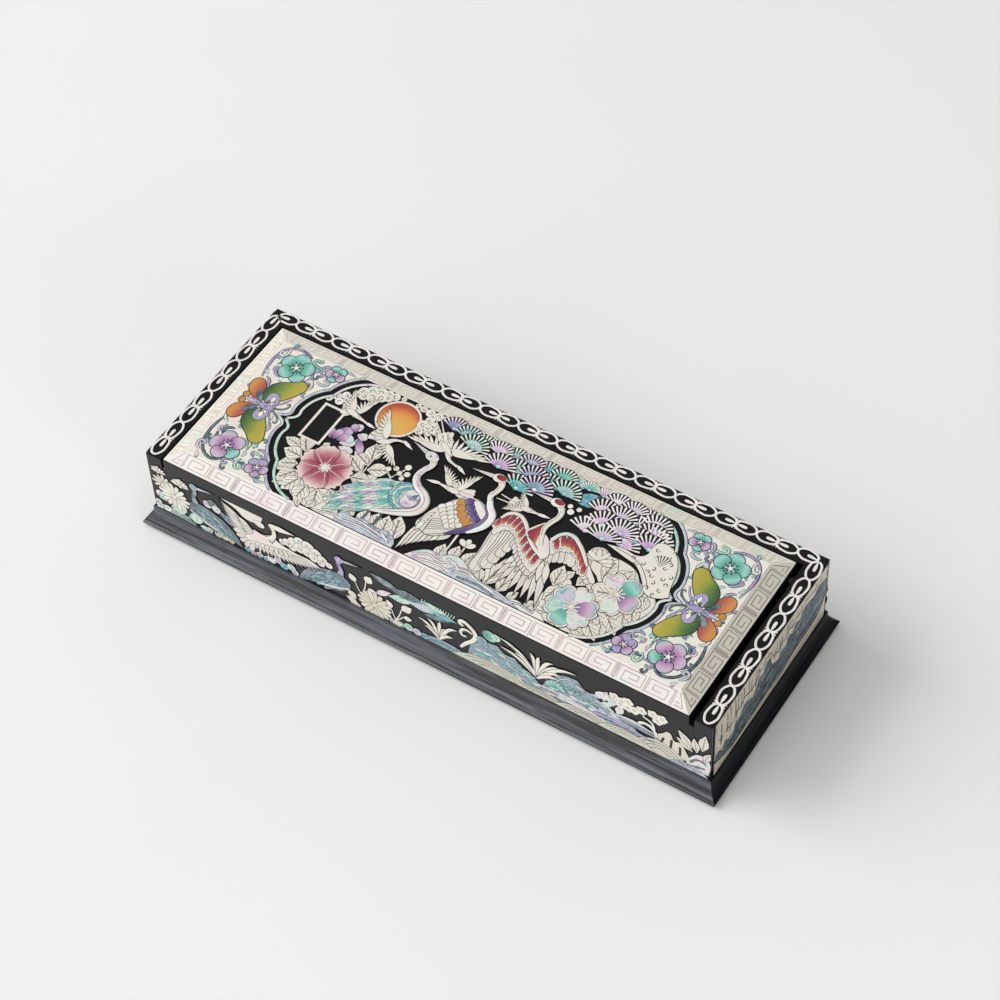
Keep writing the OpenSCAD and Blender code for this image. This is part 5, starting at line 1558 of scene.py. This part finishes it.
def sprig(inlay, where, leaves, finish, level):
    """Stalks from one root, with a leaf at the end of each."""
    for x, y, turn, l, w in leaves:
        inlay.line([(0, 0, 1), (x * 0.6, y * 0.5, 0.9), (x, y, 0.8)], 0.6, finish, where, level, rim=0.1)
        inlay.put(leaf(l, w), finish, where @ spot(x, y, turn), level + 1)


def wader(inlay, facing, level, turned=False):
    """A standing crane in dark abalone. Its head looks right, and a turned bird has its body on the left."""
    where, skin = (facing @ MIRROR, lilac) if turned else (facing, abalone_stone)
    body = (
        (-9, 10.6), (-4.6, 13.6), (2.4, 12.6), (8.4, 9.4), (12.6, 4.4),
        (15, -1, 1), (8, 1.4), (1, 2.4), (-6, 5))
    inlay.put(body, abalone_dusk, where, level, rim=0.2, steps=4)
    for k in range(3):
        for i in range(7):
            at = where @ spot(-6 + 3.6 * k + 0.72 * i, 11 - 1.125 * i + 0.6 * k, -34 - 3 * k)
            shell = pick((abalone_dusk, abalone_blue, abalone_dusk), i + k)
            inlay.put(feather(6, 1.5), shell, at, level + 1 + k + 0.2 * i, rim=0.12)
    inlay.line([(-8.4, 7.6, 0.6), (-2, 4.4, 1), (5, 2.4, 0.6)], 1.3, abalone_rose, where, level + 6, rim=0.1)
    throat = [(-5.4, 22.6, 0.9), (-4.6, 20, 0.8), (-5.6, 17, 0.9), (-5, 13.6, 1.4)]
    inlay.line(throat, 2.2, skin, where, level + 6, rim=0.16)
    head = facing @ spot(5 if turned else -5, 22.8)
    inlay.put(((0.4, -0.7, 1), (9, 1.6, 1), (0.2, 0.9, 1)), abalone_cool, head, level + 7, rim=0.12)
    inlay.put(disc(1.8), skin, head, level + 8, rim=0.14)


def scalloped(inlay, puffs, finish, level):
    """A heap of round scales, each with an engraved curl."""
    for i, (x, y, r) in enumerate(puffs):
        inlay.put(disc(r), pick(finish, i), spot(x, y, 50 * i), level + 0.5 * i, rim=0.14)
        inlay.line(scroll(r * 0.7), 0.26, ink, spot(x, y, 80 * i), level + 0.5 * i + 0.8, steps=3)


def hill(inlay, x0, x1, top, finish, level):
    """A low dome with three engraved contours, each the same dome made smaller."""
    def dome(t, s):
        return x0 + (x1 - x0) * (0.5 + (t - 0.5) * s), 0.2 + top * s * sin(pi * t) ** 0.7

    back = [dome(t, 1) for t in (0.86, 0.66, 0.42, 0.18)]
    inlay.put(((x0, 0.2, 1), (x1, 0.2, 1), *back), finish, level=level, rim=0.18, steps=4)
    for s in (0.84, 0.64, 0.44):
        inlay.line([dome(t, s) for t in (0.1, 0.32, 0.6, 0.9)], 0.26, ink, level=level + 1.2)


def strokes(inlay, span, foot, tall, finishes, count):
    """Short strokes of mixed shell, heaped highest in the middle of the span, which break up a rock."""
    for i in range(count):
        t, rise = ((i * 7) % count + 0.5) / count, ((i * 11) % count) / count
        x, y = span[0] + (span[1] - span[0]) * t, foot + rise * tall * sin(pi * t) ** 0.6
        where = spot(x - 2, y, dice.uniform(-32, 20))
        inlay.put(leaf(4.2, 1.3), pick(finishes, i), where, 7 + 0.05 * i, rim=0.08)


print("frieze shapes ready")

# %% [markdown]
# The long frieze runs from left to right as on the real front, and each stretch of it is a function, so that
# both long walls can draw it. It starts at the left corner, with daisies, leaves and a dark crane.

# %% Left corner
def daisy_corner(white, play):
    daisy(white, spot(-115.4, 22.6), 3.6, 7, ivory, 8, 150, 15)
    daisy(white, spot(-105.4, 20.4), 4.2, 9, ivory, 8, 150, 15)
    daisy(white, spot(-113.8, 17), 5, 12, ivory_warm, 6)
    daisy(white, spot(-109.4, 12), 7, 15, ivory, 9)
    for x, y, turn, l, w in (
            (-112, 5, 10, 8, 6), (-104, 3.4, 20, 8, 5.4), (-117, 7, 40, 6, 4.4), (-99, 1.6, 350, 5, 3)):
        play.put(leaf(l, w), abalone_green, spot(x, y, turn), 7, steps=4)
    scalloped(
        play, [(-118, 4, 1.6), (-116.6, 9.6, 1.8), (-117.6, 2, 1.5),
        (-114, 2.4, 1.6)], [abalone_rose, pearl_rose], 4)
    for y in (0.6, 1.8, 3):
        ripple = [(-119.4, y, 0.8), (-110, y + 0.4, 1), (-101, y - 0.4, 0.5)]
        play.line(ripple, 0.8, pick((abalone_green, abalone_rose, pearl_rose), int(y)), level=5, rim=0.14)
    wader(play, spot(-94, 1.2), 6)
    scalloped(play, [(-93.4, 17.6, 2), (-91, 19, 2.2), (-89.4, 17, 2)], [abalone_rose, abalone_dusk], 4)
    play.put(leaf(11, 3.6), abalone_dusk, spot(-88.4, 17, -36), 3)
    scalloped(
        white, [(-97, 1, 1.3), (-94.6, 1.4, 1.5), (-90.6, 1.4, 1.7),
        (-87.6, 1.8, 1.9), (-84.6, 1.2, 1.4)], ivory_warm, 3)


print("stretch ready: daisy_corner")

# %% [markdown]
# A white crane rises past a cloud. Its wings are rows of lens-shaped feathers, the long ones first and the
# short ones over their roots, and one smooth piece makes its back. Round scales of abalone are the foam
# below it.

# %% White crane and cloud
def rising_crane(white, play):
    white.put(
        ((-86.4, 25.8, 1), (-67.6, 25.8, 1), (-68.6, 22.6), (-72, 20.4),
        (-76.6, 20.8), (-79.4, 23.4)), ivory, level=5)
    white.put(drop(5.6, 3.4), ivory, spot(-72.6, 21.6, -10), 6)
    row(white, ivory_feather, (-76, 10), (-73.4, 7.6), 5, (6.4, 6.2), 2.3, (178, 252), 7, rim=0.2)
    for x in (-71.2, -67.4):
        white.line([(x, 9, 1.2), (x + 0.2, 5, 0.9), (x, 2.6, 1)], 0.75, ivory, level=6, rim=0.12)
        for a in (200, 270, 330):
            white.put(leaf(2.2, 0.6), ivory, spot(x, 2.8, a), 6, rim=0.1)
    row(white, ivory_feather, (-71, 11.4), (-76.2, 17.4), 9, (12, 12.4), 1.8, (180, 147), 6, leaf, rim=0.2)
    row(white, ivory, (-70, 11.8), (-74, 16.4), 7, (7, 7), 1.7, (178, 148), 11, leaf, rim=0.2)
    row(white, ivory_feather, (-72, 10), (-52, 14), 17, (5.6, 10), 2, (264, 348), 5, leaf, rim=0.22)
    white.put(
        ((-77, 9.6), (-73, 7.4), (-67, 8), (-59, 11.4), (-49, 13.8, 1), (-58, 14.6), (-62, 16), (-64, 17.6),
        (-68, 15.6), (-72.6, 16.2, 1), (-73, 13.4), (-75.4, 11.6)), ivory, level=15, steps=4)
    row(white, ivory_feather, (-72, 9), (-58, 13), 9, (3.4, 3.4), 1.7, (210, 320), 15.6)
    white.line(
        [(-63.8, 23.4, 1), (-62.8, 20.6, 0.85), (-63.4, 17.4, 1),
        (-66, 14, 1.6)], 2.1, ivory, level=16, rim=0.16)
    white.put(((-1.5, 0), (0, -1.2), (10.2, 1, 1), (0, 1.2)), ivory, spot(-63.4, 23.8), 17, rim=0.14)
    scalloped(
        white, [(-59.4, 17.2, 1.6), (-57, 18.2, 2.2), (-54, 20.2, 2.6), (-51, 22, 2.8), (-47.6, 21.8, 2.9),
        (-44.4, 20, 2.7), (-41.6, 18, 2.2), (-38.8, 16.6, 1.6), (-55, 16.6, 1.8), (-51.6, 18.4, 2.6),
        (-48.4, 18.2, 2.6), (-45.6, 16.6, 2.2), (-42.4, 15.4, 1.7)], ivory, 5)
    scalloped(
        play, [(-77, 1.4, 1.5), (-74.4, 0.9, 1.3), (-71.6, 1.4, 1.4), (-68.6, 1.2, 1.3),
        (-65.8, 2, 1.7), (-63, 3.8, 1.8), (-60.4, 2, 1.9), (-57, 3.4, 1.9),
        (-55.4, 1.4, 1.6)], [abalone_blue, abalone_rose, abalone], 4)


print("stretch ready: rising_crane")

# %% [markdown]
# A second dark crane faces the great daisy, which has leaves round its foot and a sprig on each side.

# %% Second dark crane and great daisy
def great_daisy(white, play):
    wader(play, spot(-39, 0.4), 6, turned=True)
    sprig(
        white, spot(-25, 8), ((-2.4, 6.4, 120, 4.6, 3.4),
        (2.4, 9.4, 60, 5, 3.8), (2.6, 4.6, 20, 4.6, 3.4)), ivory, 6)
    daisy(white, spot(-19.6, 6), 7.8, 17, ivory_warm, 9)
    for x, y, turn in ((-27.6, 1.6, 160), (-28, 4, 130), (-26, 0.8, 190), (-12.4, 1, 10)):
        white.put(leaf(5, 3.6), ivory_warm, spot(x, y, turn), 7)
    sprig(
        white, spot(-10.6, 3), ((-1.6, 6, 110, 4.4, 3.2), (3, 8, 40, 6, 4), (3.4, 4, 10, 4, 2.6)), ivory, 6)
    scalloped(
        play, [(-12, 1.4, 1.5), (-8.6, 1.8, 1.8), (-5, 2.4, 2), (-1.4, 2, 1.9),
        (2, 1.8, 1.7)], [abalone, abalone_blue, abalone_green], 4)


print("stretch ready: great_daisy")

# %% [markdown]
# A pine branch of long abalone leaves hangs over a tuft of grass. Beside it a plant curls up in two thick
# lines, which are the same lines as the thin ones, only wider and tapered at both ends.

# %% Pine branch, grass and scroll
def pine_and_grass(white, play):
    for x, y, l, w, turn, finish in (
            (-20.4, 24.6, 15, 3.6, -14, abalone_dusk), (-12, 21, 16, 5, 2, abalone_dusk),
            (-19, 13.4, 9, 3, 34, abalone_rose), (-13, 16, 12, 4, 14, abalone_green),
            (-4, 18, 14, 4, 8, abalone), (0, 22, 14, 4, -4, abalone_green),
            (2, 15.4, 12, 2.6, 12, abalone_dusk), (6, 19, 11, 2.8, 4, abalone_blue)):
        play.put(leaf(l, w), finish, spot(x, y, turn), 4 + 0.2 * (x % 7), steps=4)
    for i in range(13):
        play.put(sliver(2.8, 0.16, 0.4), abalone_green, spot(1.4 + 1.1 * i, 21 - 0.05 * i, 78 - i), 8, rim=0)
    blades(
        white, spot(8.4, 4.6), ((-8.4, 7.4), (-4.4, 9.4), (0.8, 10.6), (4, 8),
        (8, 10.4), (-6, 4.4), (6, 4.6)), 1.6, ivory, 7)
    white.line(
        [(17.6, 6.4, 0.6), (20, 10, 0.9), (23.6, 14.4, 1.1), (24.4, 18, 1.1), (22, 21.4, 1.1),
        (19, 22.6, 1.1), (18, 20.8, 0.9), (19.4, 20, 0.7)], 1.9, ivory, level=8, rim=0.16, steps=6)
    white.line(
        [(23, 17.6, 0.7), (20.4, 18.4, 1), (18.2, 16.4, 1), (18.8, 14.2, 0.9),
        (20.6, 14.6, 0.7)], 1.4, ivory, level=8, rim=0.14)


print("stretch ready: pine_and_grass")

# %% [markdown]
# Two rocks fill the middle of the right half. Short strokes of mixed shell break up their faces, as a real
# inlayer would use up offcuts, long strokes are the water, and a large tuft of grass stands between them.

# %% Rocks and water
def rocky_bank(white, play):
    rock(
        play, ((20.4, 3, 1), (54, 3, 1), (50.4, 7.6), (46.4, 11.4, 1), (43.4, 12.2), (40.6, 15.4, 1),
        (36.6, 15), (33.4, 17.8, 1), (29.4, 17), (25.6, 17.4), (22.6, 12.6)),
        ([(24, 12), (30, 15.4), (37, 13.4), (45, 9)], [(25, 9), (32, 11.4), (42, 8.4)]),
        abalone_stone, 4, [abalone_green, abalone_blue])
    scalloped(
        play, [(30.4, 21.6, 3), (33, 22.4, 2), (27, 16.4, 2.4)],
        [flower_green, abalone_green, abalone_stone], 7)
    strokes(play, (23, 50), 5.6, 10, [flower_green, abalone_stone, abalone_blue, lilac, abalone_green], 40)
    rock(
        play, ((49, 3, 1), (92, 3, 1), (90, 8.6), (84.4, 9.8), (80, 12.4, 1), (77, 13), (73.6, 17, 1),
        (70, 17), (66.6, 20.6, 1), (62.4, 20), (59, 18.6), (55.4, 13)),
        ([(57, 13), (63, 18.6), (70, 15.4)], [(58, 9.6), (65, 14.4), (74, 10.4)]),
        abalone_stone, 4, [abalone_rose, abalone_blue])
    strokes(play, (54, 86), 5, 13, [abalone_rose, abalone_stone, lilac, flower_green, abalone_cool], 46)
    for i in range(7):
        play.put(drop(4.6, 1.3), flower_green, spot(57.4, 9.4, 20 + 24 * i), 9 + 0.4 * (i % 2), rim=0.14)
    for x, y, turn in ((74, 17, 60), (77, 17.4, 75), (80, 16, 80), (82.6, 13.4, 70), (76, 13, 50)):
        play.put(leaf(6.6, 3.4), abalone_rose, spot(x, y - 1, turn), 6 + 0.1 * (x % 5))
    for k, (x0, x1, y) in enumerate(
            ((48, 72, 6.4), (62, 90, 8.4), (74, 100, 9.8), (70, 98, 6.4), (54, 80, 4.6), (80, 98, 11.6))):
        ripple = [(x0, y, 0.3), ((x0 + x1) / 2, y + 0.8, 1), (x1, y - 0.4, 0.3)]
        shell = pick((abalone_rose, abalone, abalone_stone, lilac), k)
        play.line(ripple, 2.4, shell, level=8 + 0.5 * k, rim=0.14)
    blades(
        white, spot(50, 10.6), ((-15.6, 13.4), (-12, 12), (-15, 8.4), (-9, 8.8), (-2.6, 13.2), (1, 13),
        (6.6, 13), (10.6, 12), (16, 13.2), (10, 8), (8.6, 5)), 1.7, ivory, 12)


print("stretch ready: rocky_bank")

# %% [markdown]
# At the right corner a stem with small five-lobed blossoms bends over a white rock. Hills with engraved
# contours close the foot of the frieze and hide the lower edge of the rocks.

# %% Right corner
def stem_corner(white, play):
    for x, y in (
            (81.6, 22), (84.4, 21.4), (87, 22.8), (87, 19.4), (89.4, 19.6), (92.4, 21.6),
            (97, 22.6), (100.6, 22.4), (98.8, 20.2), (84, 19.4)):
        for i in range(5):
            a = radians(72 * i)
            white.put(disc(1.1), ivory, spot(x + 1.2 * cos(a), y + 1.2 * sin(a)), 8 + 0.4 * (i % 2), rim=0.1)
        white.put(disc(0.55), ivory_warm, spot(x, y), 10, rim=0.1)
    white.line(
        [(98.6, 9, 1), (97.4, 13.4, 1), (94, 15, 1), (91.4, 12.6, 1),
        (93.4, 10.6, 0.8)], 1.5, ivory, level=7, rim=0.14)
    white.line([(97.6, 13, 1), (96.6, 17, 0.9), (93, 18.8, 0.7)], 1.2, ivory, level=7, rim=0.14)
    rock(
        white, ((97.6, 4.6, 1), (98.4, 11.6), (101, 14.4), (103.4, 16.6), (105.6, 13),
        (108, 13.4), (110, 10.4), (112.6, 4.6, 1)), ([(100, 7), (101.4, 12)],
        [(104, 6), (104.6, 13)], [(108, 6), (108, 11)]), ivory_warm, 6, ink)
    for x, y, turn, l, w in (
            (113, 12, 146, 8, 3.4), (112.6, 14, 128, 9, 3.6), (114.6, 12.6, 100, 8, 3.2),
            (116.6, 15, 84, 10, 4), (117.4, 9, 70, 7, 2.8)):
        white.put(leaf(l, w), ivory_leaf, spot(x, y, turn), 8)
    rock(
        play, ((110, 2, 1), (119.4, 2, 1), (119.4, 10.4), (116, 12), (112.6, 9)),
        ([(112, 5), (115, 8.6), (118.4, 8)], [(113, 3.4), (118, 5)]), abalone_rose, 6, abalone_dusk)
    rock(
        play, ((0, 0.2, 1), (24, 0.2, 1), (18, 3.4), (10, 4.4), (3, 3)),
        ([(3, 1.4), (10, 2.8), (19, 1.6)],), abalone_stone, 5, abalone_blue)
    for x0, x1, top, level in (
            (13, 50, 6, 9), (40, 62, 3.8, 10), (56, 84, 4.6, 11), (88, 112, 8.4, 8), (74, 98, 5, 12)):
        hill(white, x0, x1, top, ivory_grey, level)
    hill(white, 104, 119.4, 3.4, abalone_cool, 12)


print("stretch ready: stem_corner")

# %% [markdown]
# A wall is drawn by a list of stretches, in white and in coloured shell. The front and the back use the same
# list.

# %% Long walls
def frieze(side, at, turn, mirror, *stretches):
    face = wall_face(at, turn, radians(90))
    white = Inlay(side + "_ivory", face, mirror=mirror)
    play = Inlay(side + "_abalone", face, mirror=mirror)
    for stretch in stretches:
        stretch(white, play)
    white.done("case", "pearl_shell")
    play.done("case", "abalone_shell")


LONG = (daisy_corner, rising_crane, great_daisy, pine_and_grass, rocky_bank, stem_corner)
frieze("front", (0, -CASE_Y, FOOT_Z), 0, spot(0, 0), *LONG)
frieze("back", (0, CASE_Y, FOOT_Z), 180, MIRROR, *LONG)

# %% [markdown]
# The short walls show crags over water. White crags hang from the top in jagged steps, with cracks and
# ledges engraved in them. Dark abalone water fills the middle with long strokes, and a white bank closes the
# foot.

# %% Short walls
END, CRAG_TOP = 40.4, 30.2
WATER = (abalone_night, abalone_dusk, abalone_night, abalone_stone, abalone_night, abalone_blue)
CRAGS = (
    (-END, CRAG_TOP, 1), (-END, 9, 1), (-37.6, 12), (-35, 8.6, 1), (-33, 12.6), (-30.6, 10.4, 1),
    (-27, 11, 1), (-25.6, 14.6, 1), (-22.4, 14.4), (-20, 18), (-16, 16.4), (-13.4, 15, 1), (-11, 17.6, 1),
    (-10, 21.4, 1), (-6.4, 20.4, 1), (-4, 24.4, 1), (-1, 24, 1), (0, 18.4), (2, 16.8, 1), (5, 15.4, 1),
    (7, 18.2, 1), (10, 16.8, 1), (12.6, 20.6), (15, 18.6, 1), (17.4, 22.6, 1), (20.6, 20.8, 1),
    (24, 24.6, 1), (31, 22.8, 1), (34, 25, 1), (END, 23, 1), (END, CRAG_TOP, 1))
BANK = (
    (-END, 0.2, 1), (END, 0.2, 1), (END, 13, 1), (36, 7), (30, 5.6), (20, 5.4), (8, 3.4),
    (-4, 3.8), (-16, 3), (-26, 2.4), (-34, 4.4), (-END, 7, 1))


def crags_over_water(white, play):
    play.put(oblong(-END, 1, END, 28), abalone_night, level=1, rim=0, steps=1)
    for i in range(96):
        x, y, l = dice.uniform(-36, 36), dice.uniform(3, 23), dice.uniform(2.4, 6)
        l = min(l, 40 - abs(x))
        play.line([(x - l, y - 0.2 * l, 0.2), (x, y + 0.3, 1), (x + l, y + 0.24 * l, 0.2)], 1.15,
                  pick(WATER, i), level=2 + 0.09 * i, rim=0.12)
    white.put(CRAGS, ivory_brown, level=13, rim=0.5, steps=2)
    for x, y, *_ in CRAGS[1:-1]:
        for k, finish in enumerate((ink, gap, ivory_warm)):
            at, top = x + dice.uniform(-1.2, 1.2), dice.uniform(26, 30)
            at = max(-39.8, min(39.6, at))
            crack = [(at, top, 0.4), (at + 0.5, (top + y) / 2 + 1, 1), (at + 0.1, y + 1.4 + 2 * k, 0.3)]
            white.line(crack, 0.55, finish, level=14.5, steps=3)
    for rise, finish in ((2.6, ivory), (5.2, ink), (8, ivory_warm)):
        ledge = [(x, y + rise * (CRAG_TOP - y) / 14 + dice.uniform(-0.9, 0.9), dice.uniform(0.4, 1.6))
                 for x, y, *_ in CRAGS[2:-2]]
        white.line(ledge, 0.5, finish, level=14.6, steps=2)
    white.put(BANK, ivory_brown, level=13, rim=0.2, steps=4)
    for k in range(18):
        x, y = -38 + 72 * k / 17, 0.7 + 0.7 * (k % 4)
        white.line([(x, y, 0.4), (x + 3, y + 0.4), (x + 7, y + 0.5, 0.3)], 0.34, ink, level=14.5)


frieze("right", (CASE_X, 0, FOOT_Z), 90, spot(0, 0), crags_over_water)
frieze("left", (-CASE_X, 0, FOOT_Z), -90, MIRROR, crags_over_water)
